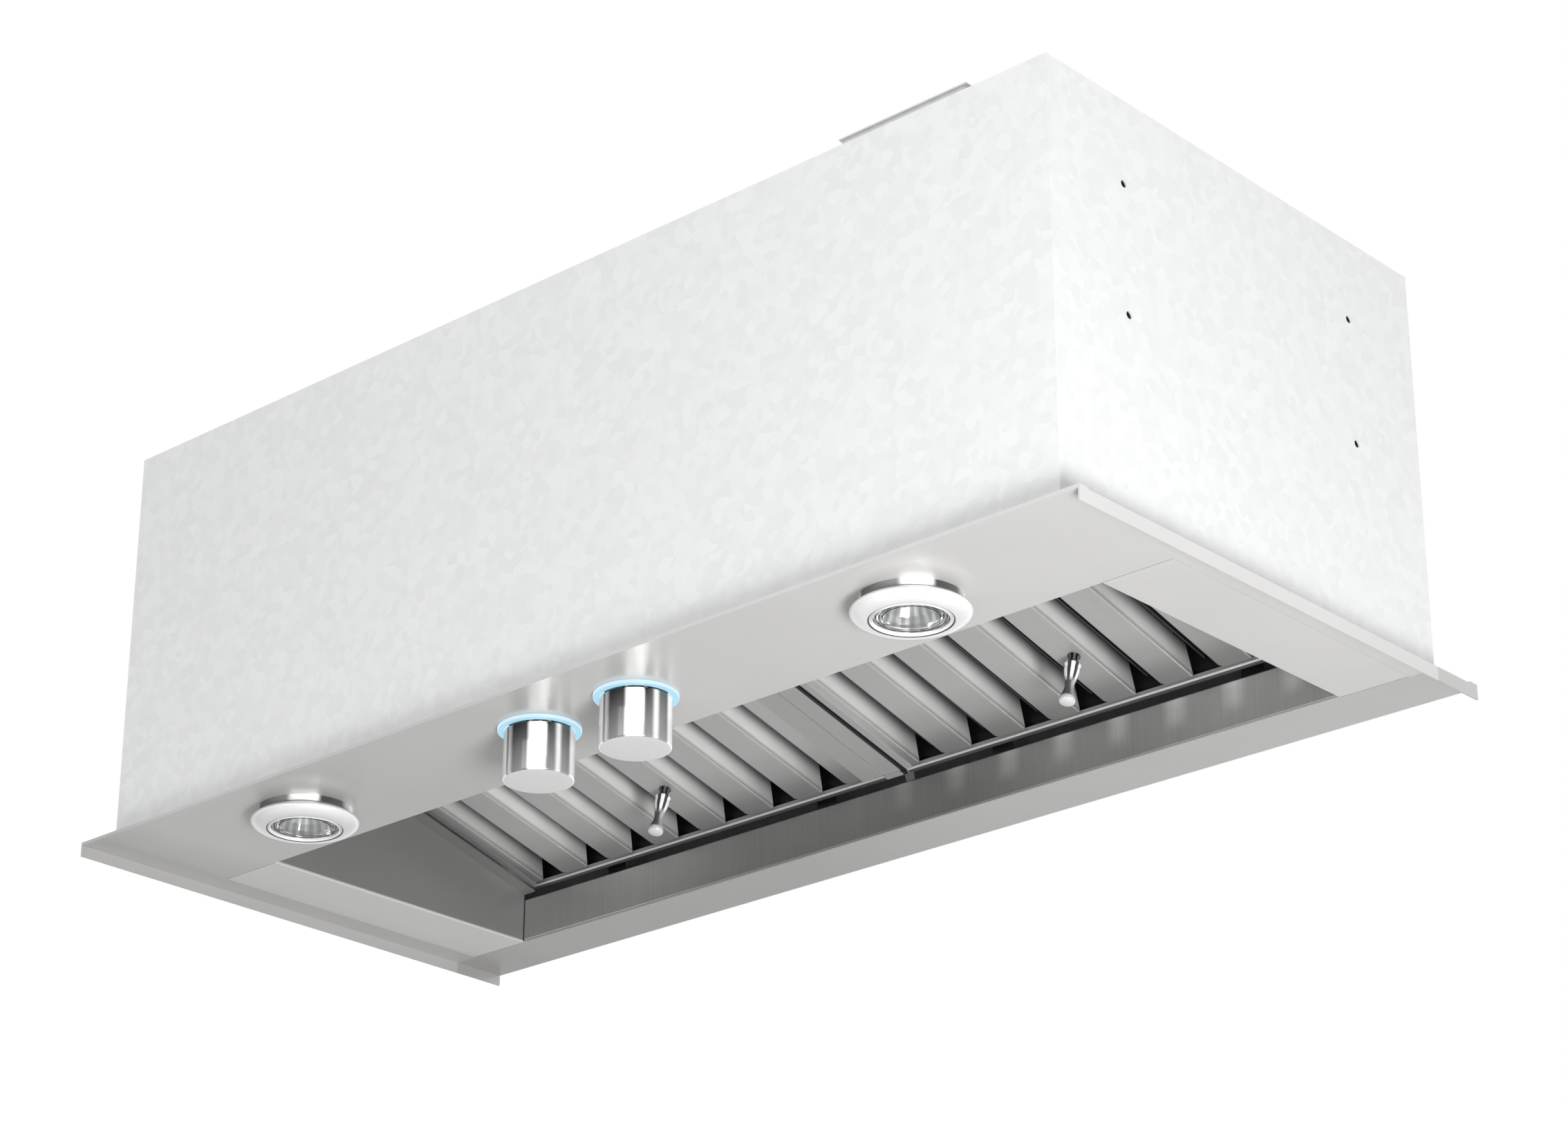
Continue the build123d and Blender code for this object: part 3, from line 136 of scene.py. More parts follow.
# Upright bands of painted reflection half round a turned piece, from BAND_START on: knob,
# lamp neck, pull and waist.
BAND_START = 0.766
KNOB_PAINTED_REFLECTIONS = [
    (0.0, 1.0), (0.15, 1.0), (0.185, 0.12), (0.215, 0.55), (0.27, 0.01), (0.40, 0.03),
    (0.44, 1.0), (0.56, 1.0), (0.60, 0.01), (0.65, 0.06), (0.70, 0.85), (0.745, 0.12),
    (0.82, 0.1), (0.87, 1.0), (1.0, 1.0),
]
NECK_PAINTED_REFLECTIONS = [
    (0.0, 1.0), (0.09, 1.0), (0.13, 0.14), (0.40, 0.24), (0.45, 1.0), (0.60, 1.0),
    (0.65, 0.05), (0.80, 0.08), (0.88, 0.5), (0.94, 1.0), (1.0, 1.0),
]
PULL_PAINTED_REFLECTIONS = [
    (0.0, 0.15), (0.10, 0.15), (0.13, 1.0), (0.28, 1.0), (0.31, 0.06), (0.43, 0.06),
    (0.46, 1.0), (0.58, 1.0), (0.61, 0.05), (0.72, 0.08), (0.76, 1.0), (0.9, 0.9), (1.0, 0.15),
]
WAIST_PAINTED_REFLECTIONS = [(0.0, 0.08), (0.5, 0.10), (0.72, 0.45), (1.0, 0.5)]

# Outline of a pull in mm: radius, and height above its foot on the filter.
PULL_LENGTH, PULL_TIP, PULL_FOOT = 37.5, 4.8, 6.0
PULL_PROFILE = [
    (4.2, 2.6), (4.2, 1.0), (2.0, 1.0), (2.0, 0.0), (4.4, 0.0), (4.4, -0.9),
    (3.4, -1.8), (3.3, -5.0), (4.0, -6.2), (5.6, -7.2), (6.0, -8.2), (5.9, -9.2),
    (5.4, -10.2), (5.45, -11.6), (5.3, -13.6), (4.9, -15.8), (4.3, -18.2),
    (3.7, -20.6), (3.25, -23.0), (3.1, -24.8), (3.25, -26.8), (3.8, -29.2),
    (4.6, -31.8), (5.3, -34.0), (5.65, -35.3), (5.6, -36.3), (5.3, -37.1),
    (PULL_TIP, -PULL_LENGTH),
]
PULL_FROM_REAR = 63.0 * MM
# Heights between which the foot with its painted shade, the swell and the waist of a pull give
# way to the next.
FOOT_END = (-5.6 * MM, -7.6 * MM)
SWELL_END = (-18.0 * MM, -22.0 * MM)
WAIST_END = (-33.0 * MM, -34.5 * MM)

# A lamp bezel: radii, how far its widest line hangs below the pan, and its shoulder in mm,
# out from the neck and down from the pan.
BEZEL_BORE, BEZEL_RIM, BEZEL_NECK = 26.0 * MM, 27.0 * MM, 32.5 * MM
BEZEL_DROP = 8.8 * MM
NECK_DROP = 5.0 * MM
SHOULDER = [(0.0, 4.6), (0.25, 5.0), (1.3, 5.45), (2.5, 6.1), (3.7, 7.0), (4.6, 7.8)]
# Radii of the dark line between bezel and snap ring.
INNER_LINE = (26.5 * MM, 26.8 * MM)

# Outline of a screw head in mm, radius and height; the sides and height of one arm of its
# cross recess; and how many degrees each screw is turned further than the one before.
SCREW_PROFILE = [(3.4, 0.0), (3.4, 0.35), (3.1, 1.1), (2.4, 1.7), (1.4, 1.98)]
RECESS_ARM, RECESS_HEIGHT = (3.4 * MM, 0.7 * MM, 1.6 * MM), 1.9 * MM
SCREW_TURN = 37
# Facets round the small turned pieces.
PULL_SEGMENTS, CAPSULE_SEGMENTS, SCREW_SEGMENTS = 64, 32, 24

# Marks to the metre across the grain, and where most values of a noise lie.
BRUSH_MARKS = 2600.0
NOISE_RANGE = (0.3, 0.7)
# How fine the haze on plating is.
HAZE = 90.0

# The lamps: name, place, aim, sides and power.
LAMPS = [
    ("lamp_right", (1.9, -1.0, -1.6), (0.0, 0.0, PAN_FACE), (0.8, 0.8), 54),
    ("lamp_near_right", (1.1, -0.6, -1.0), (0.4, 0.0, PAN_FACE), (0.4, 0.4), 5),
    ("lamp_front", (0.3, -2.8, 0.5), (0.0, 0.0, -0.1), (1.6, 1.2), 15),
    ("lamp_top", (0.3, -0.6, 2.4), (0.0, 0.0, 0.0), (2.2, 2.2), 18),
]
FLOOR_SIZE = 9.0


def both(part):
    """Names of a part's left and right node."""
    return [f"left_{part}", f"right_{part}"]


def node_centre(node):
    """Middle of a CAD node in plan."""
    low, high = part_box(node)
    return (low.x + high.x) / 2, (low.y + high.y) / 2


def pull_foot(side):
    """Where the axis of a pull meets the lower face of its filter."""
    low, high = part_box(f"{side}_filter_pull")
    rise = PULL_LENGTH * SLOPE_COS + PULL_TIP * SLOPE_SIN
    return Vector((
        (low.x + high.x) / 2,
        high.y - PULL_FOOT * MM * SLOPE_COS,
        low.z + rise * MM,
    ))


# ---- settings
class HoodStageSettings(bpy.types.PropertyGroup):
    """Camera and floor."""

    camera_place: FloatVectorProperty(
        name="Camera place", description="Where the camera stands, in the part's own frame",
        default=(1.6142, -1.7390, -1.1968), subtype="XYZ", unit="LENGTH",
    )
    camera_yaw: FloatProperty(
        name="Camera yaw", description="Turn of the view from straight ahead towards the left",
        default=math.radians(42.18), subtype="ANGLE",
    )
    camera_pitch: FloatProperty(
        name="Camera pitch", description="Upward tilt of the view",
        default=math.radians(23.85), subtype="ANGLE",
    )
    lens: FloatProperty(
        name="Lens", description="Focal length on a 36 mm wide sensor", default=86.3, min=10.0,
    )
    floor_drop: FloatProperty(
        name="Floor drop", description="Depth of the floor below the pan", default=1.65,
        unit="LENGTH",
    )
    floor_colour: FloatVectorProperty(
        name="Floor colour", description="Pale floor", default=(0.86, 0.86, 0.86),
        subtype="COLOR",
    )


class HoodSteelSettings(bpy.types.PropertyGroup):
    """Brushed and galvanised sheet."""

    pan_colour: FloatVectorProperty(
        name="Pan steel", description="Colour of the brushed pan",
        default=(0.62, 0.615, 0.605), subtype="COLOR",
    )
    pan_metal: FloatProperty(
        name="Pan metal", description="Share of the pan's light that is mirrored",
        default=0.35, min=0.0, max=1.0, subtype="FACTOR",
    )
    filter_metal: FloatProperty(
        name="Filter metal", description="Share of the filters' light that is mirrored",
        default=0.5, min=0.0, max=1.0, subtype="FACTOR",
    )
    filter_colour: FloatVectorProperty(
        name="Filter steel", description="Colour of the baffle filters",
        default=(0.42, 0.42, 0.415), subtype="COLOR",
    )
    galvanised_colour: FloatVectorProperty(
        name="Galvanised sheet", description="Colour of the hidden housing",
        default=(0.78, 0.785, 0.79), subtype="COLOR",
    )
    grain_length: FloatProperty(
        name="Grain length", description="Length of one brush mark", default=0.09,
        unit="LENGTH",
    )


class HoodKnobSettings(bpy.types.PropertyGroup):
    """Turned control knobs and their lit rings."""

    edge: FloatProperty(
        name="Edge", description="Bevel on the knob's rim", default=0.0009, unit="LENGTH",
    )
    segments: IntProperty(
        name="Segments", description="Facets round a turned piece", default=128, min=24,
    )
    halo_colour: FloatVectorProperty(
        name="Halo colour", description="Light of the translucent ring",
        default=(0.40, 0.68, 0.85), subtype="COLOR",
    )
    halo_glow: FloatProperty(
        name="Halo glow", description="Strength of the ring's light", default=0.95, min=0.0,
    )


class HoodLampSettings(bpy.types.PropertyGroup):
    """Drop lamps."""

    facet_rows: IntProperty(
        name="Facet rows", description="Rings of facets in a reflector", default=5, min=2,
    )
    facet_count: IntProperty(
        name="Facets", description="Facets in one ring of a reflector", default=24, min=8,
    )


# ---- node helpers
def rgba(colour):
    """A grey or a colour as four channels."""
    return (colour, colour, colour, 1.0) if isinstance(colour, float) else (*colour, 1.0)


def feed(node, inputs):
    """Puts numbers, greys, colours or other nodes' outputs on a node's inputs."""
    for name, value in inputs.items():
        socket = node.inputs[name]
        if isinstance(value, bpy.types.NodeSocket):
            node.id_data.links.new(value, socket)
        else:
            socket.default_value = rgba(value) if socket.type == "RGBA" else value


def new_node(tree, kind, inputs=None, **settings):
    """A shader node with its settings and inputs."""
    node = tree.nodes.new(f"ShaderNode{kind}")
    for name, value in settings.items():
        setattr(node, name, value)
    feed(node, inputs or {})
    return node


def new_finish(name):
    """A material and its tree, which holds only a principled shader and the output."""
    material = bpy.data.materials.new(name)
    material.use_nodes = True
    tree = material.node_tree
    tree.nodes.clear()
    shader = new_node(tree, "BsdfPrincipled")
    new_node(tree, "OutputMaterial", {"Surface": shader.outputs["BSDF"]})
    return material, tree


def shader_of(material):
    """The principled shader of a finish."""
    return next(node for node in material.node_tree.nodes if node.type == "BSDF_PRINCIPLED")


def finished(material, inputs):
    """The material with its shader's inputs filled in."""
    feed(shader_of(material), inputs)
    return material


def shaded(material, shades):
    """A finish whose colour is multiplied by each of the shades."""
    colour = shader_of(material).inputs["Base Color"].links[0].from_socket
    for shade in shades:
        colour = times(material.node_tree, colour, shade)
    return finished(material, {"Base Color": colour})


def object_place(tree):
    """Object coordinates."""
    return new_node(tree, "TexCoord").outputs["Object"]


def separate(tree, vector):
    """X, Y and Z of a vector."""
    return new_node(tree, "SeparateXYZ", {"Vector": vector}).outputs


def calculate(tree, operation, *values):
    """Result of a math node on sockets and numbers."""
    return new_node(tree, "Math", dict(enumerate(values)), operation=operation).outputs["Value"]


def noise(tree, scale, detail=2.0, roughness=0.55, vector=None):
    """A noise texture's value, on object coordinates unless a vector is given."""
    inputs = {
        "Vector": vector or object_place(tree), "Scale": scale, "Detail": detail,
        "Roughness": roughness,
    }
    return new_node(tree, "TexNoise", inputs).outputs["Fac"]


def spread(tree, value, low, high, start=0.0, end=1.0, clamp=True):
    """A value that runs from start to end, mapped to run from low to high."""
    inputs = {"Value": value, "From Min": start, "From Max": end, "To Min": low, "To Max": high}
    return new_node(tree, "MapRange", inputs, clamp=clamp).outputs["Result"]


def along(tree, direction, begin, length, low=0.0, high=1.0, clamp=True):
    """A value that runs from low to high over a length along a direction."""
    inputs = {0: object_place(tree), 1: direction}
    distance = new_node(tree, "VectorMath", inputs, operation="DOT_PRODUCT").outputs["Value"]
    return spread(tree, distance, low, high, begin, begin + length, clamp)


def around(tree, centre, tilt=0.0):
    """Angle about an axis, 0 to 1 twice round, distance from it, and height along it."""
    foot = Matrix.Rotation(tilt, 3, "X") @ Vector(centre).to_3d()
    inputs = {"Vector": object_place(tree), "Location": -foot, "Rotation": (tilt, 0.0, 0.0)}
    parts = separate(tree, new_node(tree, "Mapping", inputs).outputs["Vector"])
    angle = calculate(tree, "ARCTAN2", parts["Y"], parts["X"])
    turns = calculate(tree, "MULTIPLY_ADD", angle, 1.0 / math.pi, BAND_START)
    flat = new_node(tree, "CombineXYZ", {"X": parts["X"], "Y": parts["Y"]}).outputs["Vector"]
    reach = new_node(tree, "VectorMath", {0: flat}, operation="LENGTH").outputs["Value"]
    return calculate(tree, "FRACT", turns), reach, parts["Z"]


def colour_stops(tree, value, stops, interpolation="EASE"):
    """A ramp of greys or colours between its first and its last stop."""
    ramp = new_node(tree, "ValToRGB", {"Fac": value})
    ramp.color_ramp.interpolation = interpolation
    elements = ramp.color_ramp.elements
    first, *inner, last = stops
    for element, (place, colour) in zip(elements, (first, last)):
        element.position = place
        element.color = rgba(colour)
    for place, colour in inner:
        elements.new(place).color = rgba(colour)
    return ramp.outputs["Color"]


def blend(tree, factor, first, second, blend_type="MIX"):
    """Two colours mixed; each may be a socket, a grey or a colour."""
    inputs = {"Factor": factor, "A": first, "B": second}
    mix = new_node(tree, "Mix", inputs, data_type="RGBA", blend_type=blend_type)
    return mix.outputs["Result"]


def times(tree, first, second):
    """Product of two colours."""
    return blend(tree, 1.0, first, second, "MULTIPLY")


def bump(tree, height, distance, strength):
    """Normal of a surface that is finely raised by a height."""
    inputs = {"Height": height, "Distance": distance, "Strength": strength}
    return new_node(tree, "Bump", inputs).outputs["Normal"]


# ---- finishes
def brushed_steel(name, colour, grain_axis, roughness=0.34, contrast=0.10, turn=0.0, metal=1.0):
    """Sheet with fine parallel brush marks along one axis, and faint handling marks."""
    material, tree = new_finish(name)
    scale = [BRUSH_MARKS] * 3
    scale[grain_axis] = 1.0 / bpy.context.scene.hood_steel.grain_length
    inputs = {"Vector": object_place(tree), "Rotation": (turn, 0.0, 0.0)}
    turned = new_node(tree, "Mapping", inputs).outputs["Vector"]
    stretched = new_node(tree, "Mapping", {"Vector": turned, "Scale": scale}).outputs["Vector"]
    grain = noise(tree, 1.0, detail=3.0, roughness=0.6, vector=stretched)
    marks = spread(tree, grain, 1.0 - contrast, 1.0 + contrast, *NOISE_RANGE)
    patches = spread(tree, noise(tree, 7.0, detail=3.0), 0.97, 1.03, *NOISE_RANGE)
    rougher = 0.6 * contrast
    return finished(material, {
        "Metallic": metal,
        "Base Color": times(tree, colour, calculate(tree, "MULTIPLY", marks, patches)),
        "Roughness": spread(tree, grain, roughness - rougher, roughness + rougher, *NOISE_RANGE),
        "Normal": bump(tree, grain, 0.04 * MM, 1.2 * contrast),
    })


def galvanised_sheet(name):
    """Zinc-coated sheet with a faint spangle."""
    material, tree = new_finish(name)
    colour = bpy.context.scene.hood_steel.galvanised_colour
    spangle = new_node(tree, "TexVoronoi", {"Vector": object_place(tree), "Scale": 130.0})
    grey = new_node(tree, "SeparateColor", {"Color": spangle.outputs["Color"]}).outputs
    return finished(material, {
        "Metallic": 0.35,
        "Base Color": times(tree, colour, spread(tree, grey["Red"], 0.965, 1.03)),
        "Roughness": spread(tree, grey["Green"], 0.42, 0.52),
        "Normal": bump(tree, noise(tree, 60.0, detail=4.0), 0.2 * MM, 0.15),
    })


def polished_chrome(name, colour=(0.86, 0.865, 0.87), roughness=0.045):
    """Bright plating with the faintest haze."""
    material, tree = new_finish(name)
    haze = noise(tree, HAZE)
    return finished(material, {
        "Metallic": 1.0,
        "Base Color": times(tree, colour, spread(tree, haze, 0.985, 1.015)),
        "Roughness": spread(tree, haze, roughness * 0.8, roughness * 1.3),
    })


def seam_lines(tree):
    """Share of light left where the pan's fine seams run, 1 elsewhere."""
    parts = separate(tree, object_place(tree))
    aside, front = calculate(tree, "ABSOLUTE", parts["X"]), OPENING_REAR - OPENING_DEPTH
    middle, reach = (OPENING_HALF + SEAM_HALF) / 2, (SEAM_HALF - OPENING_HALF) / 2
    beside = calculate(tree, "COMPARE", aside, middle, reach)
    at_front = calculate(tree, "COMPARE", parts["Y"], front, ACROSS_WIDTH)
    at_rear = calculate(tree, "COMPARE", parts["Y"], OPENING_REAR, ACROSS_WIDTH)
    across = calculate(tree, "MULTIPLY", beside, calculate(tree, "ADD", at_front, at_rear))
    half_depth = OPENING_DEPTH / 2
    within = calculate(tree, "COMPARE", parts["Y"], front + half_depth, half_depth)
    outer = calculate(tree, "COMPARE", aside, SEAM_HALF, LENGTH_WIDTH)
    lengthways = calculate(tree, "MULTIPLY", within, outer)
    dimmed = calculate(tree, "MULTIPLY_ADD", lengthways, LENGTH_DIM, 1.0)
    return calculate(tree, "MULTIPLY_ADD", across, ACROSS_DIM, dimmed)


def pan_sheet(name):
    """Brushed pan with fine seams, and painted shade on its rear strip and left half."""
    steel = bpy.context.scene.hood_steel
    material = brushed_steel(name, steel.pan_colour, X_AXIS, 0.30, 0.018, metal=steel.pan_metal)
    tree = material.node_tree
    return shaded(material, [along(tree, *shade) for shade in PAN_PAINTED_SHADE] + [seam_lines(tree)])


def liner_steel(name):
    """Brushed side wall: as pale as the pan at its foot, with painted shade up inside the
    recess.
    """
    steel = bpy.context.scene.hood_steel
    material = brushed_steel(name, steel.pan_colour, X_AXIS, 0.36, 0.03, metal=steel.pan_metal)
    height = along(material.node_tree, UP, PAN_FACE, LINER_HEIGHT)
    return shaded(material, [colour_stops(material.node_tree, height, LINER_PAINTED_SHADE, "LINEAR")])


def wall_steel(name):
    """Upright brushed rear wall with painted shade across it and pale arcs of painted light
    where light from the slots would fall.
    """
    material = brushed_steel(name, WALL_COLOUR, Z_AXIS, metal=WALL_METAL)
    tree = material.node_tree
    across = along(tree, RIGHT, -OPENING_HALF, 2 * OPENING_HALF)
    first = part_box("right_filter_frame")[0].x + ARC_START
    phase = along(tree, RIGHT, first, ARC_PITCH / math.tau, clamp=False)
    # Painted light: pale arcs rising up the wall over each slot.
    wave = calculate(tree, "MAXIMUM", calculate(tree, "COSINE", phase), 0.0)
    arc = calculate(tree, "POWER", wave, ARC_POWER)
    rise = colour_stops(tree, along(tree, UP, PAN_FACE, WALL_HEIGHT), ARC_RISE)
    fade = along(tree, RIGHT, *ARC_FADE)
    glow = calculate(tree, "MULTIPLY", calculate(tree, "MULTIPLY", arc, rise), fade)
    painted_light_arcs = calculate(tree, "MULTIPLY_ADD", glow, ARC_PAINTED_LIGHT, 1.0)
    return shaded(material, [colour_stops(tree, across, WALL_PAINTED_SHADE), painted_light_arcs])


def filter_sheet(name, contrast):
    """Sheet of the filters and the rail between them, brushed up their slope."""
    steel = bpy.context.scene.hood_steel
    return brushed_steel(
        name, steel.filter_colour, Y_AXIS, 0.40, contrast, FILTER_SLOPE, steel.filter_metal
    )


def filter_steel(name, depth_stops, reach_stops=None, reach_length=RAIL_REACH):
    """Brushed baffle sheet with painted shade by its bends, deep in its slots, under its rear
    rail and by the recess's left wall, and painted light up the slot walls and on the rail.
    """
    material = filter_sheet(name, 0.035)
    tree = material.node_tree
    foot = pull_foot("left")
    depth = along(tree, INTO_FILTER, foot.dot(INTO_FILTER), SLOT_DEPTH)
    metal = bpy.context.scene.hood_steel.filter_metal
    finished(material, {"Metallic": spread(tree, depth, metal, 0.0, *METAL_FADE)})
    shades = [colour_stops(tree, depth, depth_stops, "LINEAR")]
    if reach_stops:
        rear = foot.dot(UP_THE_FILTER) - PULL_FROM_REAR
        reach = along(tree, UP_THE_FILTER, rear, reach_length)
        shades.append(colour_stops(tree, reach, reach_stops, "LINEAR"))
    # Painted shade beside the recess's left wall.
    start = -OPENING_HALF + SIDE_SHADE_START
    shades.append(along(tree, RIGHT, start, SIDE_SHADE_WIDTH, SIDE_SHADE, 1.0))
    return shaded(material, shades)


def mullion_steel(name):
    """Sheet of the rail between the filters, with the dark joint along its right edge."""
    material = filter_sheet(name, 0.03)
    low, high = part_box("centre_mullion")
    across = along(material.node_tree, RIGHT, low.x, high.x - low.x)
    return shaded(material, [colour_stops(material.node_tree, across, MULLION_STOPS, "LINEAR")])


def painted_facet_mirror(name, centre, facets):
    """Reflector coating with painted reflections, bright and dark by turns from facet to facet.
    """
    material, tree = new_finish(name)
    share, _, _ = around(tree, centre)
    wave = calculate(tree, "SINE", calculate(tree, "MULTIPLY", share, math.pi * facets))
    haze = noise(tree, HAZE)
    shade = spread(tree, wave, 0.55, 0.97, -0.5, 0.5)
    return finished(material, {
        "Metallic": 0.6,
        "Base Color": times(tree, shade, spread(tree, haze, 0.98, 1.0)),
        "Roughness": spread(tree, haze, 0.08, 0.13),
    })


def ring_chrome(name, centre, inner, outer):
    """Plated snap ring with lines of painted shade between its ridges."""
    material, tree = new_finish(name)
    _, reach, _ = around(tree, centre)
    across = spread(tree, reach, 0.0, 1.0, inner, outer)
    lines = colour_stops(tree, across, RING_PAINTED_SHADE_LINES, "LINEAR")
    haze = noise(tree, HAZE)
    return finished(material, {
        "Metallic": 0.3,
        "Base Color": times(tree, lines, spread(tree, haze, 0.97, 1.03)),
        "Roughness": spread(tree, haze, 0.12, 0.18),
    })


def pull_chrome(name, foot):
    """Turned pull: painted shade at the foot, bright streaks of painted reflection on the swell,
    a waist darkened by painted reflection, pale end.
    """
    material, tree = new_finish(name)
    share, _, height = around(tree, foot, FILTER_SLOPE)
    swell = colour_stops(tree, share, PULL_PAINTED_REFLECTIONS)
    waist = colour_stops(tree, share, WAIST_PAINTED_REFLECTIONS)
    body = blend(tree, spread(tree, height, 0.0, 1.0, *SWELL_END), swell, waist)
    body = blend(tree, spread(tree, height, 0.0, 1.0, *WAIST_END), body, 0.62)
    body = times(tree, body, spread(tree, noise(tree, 300.0), 0.97, 1.03))
    return finished(material, {
        "Metallic": 0.15,
        "Base Color": times(tree, body, spread(tree, height, 0.10, 1.0, *FOOT_END)),
        "Roughness": 0.14,
        "Specular IOR Level": 0.2,
    })


def bezel_pearl(name, centre, bands_end):
    """Pearl chrome bezel: pale flange, a neck with bright and grey upright bands of painted
    reflection, and painted shade where the neck meets the flange.
    """
    material, tree = new_finish(name)
    share, reach, height = around(tree, centre)
    crease_top, crease_foot = bands_end + 1.2 * MM, bands_end + 0.2 * MM
    # Painted shade on the neck where it meets the flange.
    shadow = spread(tree, height, 1.0, 0.0, crease_foot, crease_top)
    neck = blend(tree, shadow, colour_stops(tree, share, NECK_PAINTED_REFLECTIONS), 0.16)
    on_neck = spread(tree, height, 0.0, 1.0, bands_end - 0.9 * MM, crease_foot)
    colour = blend(tree, on_neck, 0.74, neck)
    colour = times(tree, colour, spread(tree, reach, 0.06, 1.0, *INNER_LINE))
    pearl = noise(tree, 400.0)
    return finished(material, {
        "Metallic": 0.2,
        "Base Color": times(tree, colour, spread(tree, pearl, 0.97, 1.03)),
        "Roughness": spread(tree, pearl, 0.2, 0.26),
        "Coat Weight": 0.3,
        "Coat Roughness": 0.08,
    })


def painted_reflection_chrome(name, centre, top, end):
    """Polished side of a knob: bright and dark upright bands of painted reflection that pale
    towards the end.
    """
    material, tree = new_finish(name)
    share, _, height = around(tree, centre)
    fade = spread(tree, height, 0.0, 0.3, top, end)
    return finished(material, {
        "Metallic": 0.25,
        "Base Color": blend(tree, fade, colour_stops(tree, share, KNOB_PAINTED_REFLECTIONS), 0.72),
        "Roughness": spread(tree, noise(tree, HAZE), 0.10, 0.16),
        "Specular IOR Level": 0.15,
    })


def spun_end(name, colour):
    """Fine turning on the flat end of a knob or pull."""
    material, tree = new_finish(name)
    fine = noise(tree, 900.0)
    return finished(material, {
        "Metallic": 0.3,
        "Base Color": times(tree, colour, spread(tree, fine, 0.95, 1.05)),
        "Roughness": spread(tree, fine, 0.42, 0.52),
        "Normal": bump(tree, fine, 0.03 * MM, 0.3),
    })


def lit_ring(name, centre, inner, outer):
    """Frosted plastic that glows pale blue, with a painted highlight whitening its inner and
    outer edge.
    """
    settings = bpy.context.scene.hood_knobs
    material, tree = new_finish(name)
    _, reach, _ = around(tree, centre)
    # The pale edges are a painted highlight.
    blue, pale = settings.halo_colour, (0.66, 0.85, 0.95)
    across = spread(tree, reach, 0.0, 1.0, inner, outer)
    stops = [(0.0, pale), (0.07, blue), (0.88, blue), (1.0, pale)]
    frost = spread(tree, noise(tree, 220.0), 0.9, 1.1)
    return finished(material, {
        "Base Color": times(tree, (0.05, 0.07, 0.08), frost),
        "Roughness": 0.35,
        "Specular IOR Level": 0.2,
        "Emission Color": colour_stops(tree, across, stops, "LINEAR"),
        "Emission Strength": settings.halo_glow,
    })


def clear_glass(name):
    """Thin clear cover glass."""
    material, tree = new_finish(name)
    film = noise(tree, 40.0)
    return finished(material, {
        "Base Color": times(tree, (0.97, 0.98, 0.985), spread(tree, film, 0.99, 1.01)),
        "Roughness": spread(tree, film, 0.0, 0.03),
        "IOR": 1.46,
        "Transmission Weight": 1.0,
    })


def moulded_plastic(name, colour, roughness=0.4):
    """Moulded body with a fine spark texture."""
    material, tree = new_finish(name)
    spark = noise(tree, 700.0, detail=3.0)
    return finished(material, {
        "Base Color": times(tree, colour, spread(tree, spark, 0.92, 1.08)),
        "Roughness": spread(tree, spark, roughness - 0.06, roughness + 0.06),
        "Normal": bump(tree, spark, 0.1 * MM, 0.3),
    })


# ---- modelling helpers
def deselect_all():
    """Nothing selected and object mode."""
    if bpy.context.object and bpy.context.object.mode != "OBJECT":
        bpy.ops.object.mode_set(mode="OBJECT")
    bpy.ops.object.select_all(action="DESELECT")


def pick(piece):
    """Selects one piece alone and makes it the active one."""
    deselect_all()
    piece.select_set(True)
    bpy.context.view_layer.objects.active = piece


def settle(piece, name, body, materials, replaced=()):
    """Names a finished piece, applies its place, gives it its finish and its body."""
    pick(piece)
    bpy.ops.object.transform_apply(location=True, rotation=True, scale=True)
    piece.name = name
    piece.data.name = name
    numbers = [face.material_index for face in piece.data.polygons]
    piece.data.materials.clear()
    for material in materials:
        piece.data.materials.append(material)
    for face, number in zip(piece.data.polygons, numbers):
        face.material_index = number
    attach(piece, body)
    if replaced:
        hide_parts(*replaced)


def turned_piece(centre, rings, segments, close_start=False, close_end=False, loop=False):
    """Turns a piece: a circle at the first ring is extruded and scaled to each next ring."""
    deselect_all()
    x, y = centre
    radius, height = rings[0]
    bpy.ops.mesh.primitive_circle_add(
        vertices=segments,
        radius=radius,
        fill_type="NGON" if close_start else "NOTHING",
        location=(x, y, height),
    )
    piece = bpy.context.object
    bpy.ops.object.transform_apply(location=True, rotation=False, scale=False)
    bpy.ops.object.mode_set(mode="EDIT")
    bpy.ops.mesh.select_mode(type="EDGE")
    bpy.ops.mesh.select_all(action="SELECT")
    for next_radius, next_height in rings[1:] + ([rings[0]] if loop else []):
        bpy.ops.mesh.extrude_edges_move(
            TRANSFORM_OT_translate={"value": (0.0, 0.0, next_height - height)}
        )
        share = next_radius / radius
        if abs(share - 1.0) > 1e-9:
            bpy.ops.transform.resize(
                value=(share, share, 1.0), center_override=(x, y, next_height)
            )
        radius, height = next_radius, next_height
    if close_end:
        bpy.ops.mesh.edge_face_add()
    bpy.ops.mesh.select_all(action="SELECT")
    bpy.ops.mesh.remove_doubles(threshold=0.004 * MM)
    bpy.ops.mesh.normals_make_consistent(inside=False)
    bpy.ops.object.mode_set(mode="OBJECT")
    return piece


def fill_border(piece):
    """Closes a piece's open border with a face and turns its faces outwards."""
    pick(piece)
    bpy.ops.object.mode_set(mode="EDIT")
    bpy.ops.mesh.select_all(action="DESELECT")
    bpy.ops.mesh.select_non_manifold()
    bpy.ops.mesh.edge_face_add()
    bpy.ops.mesh.select_all(action="SELECT")
    bpy.ops.mesh.normals_make_consistent(inside=False)
    bpy.ops.object.mode_set(mode="OBJECT")


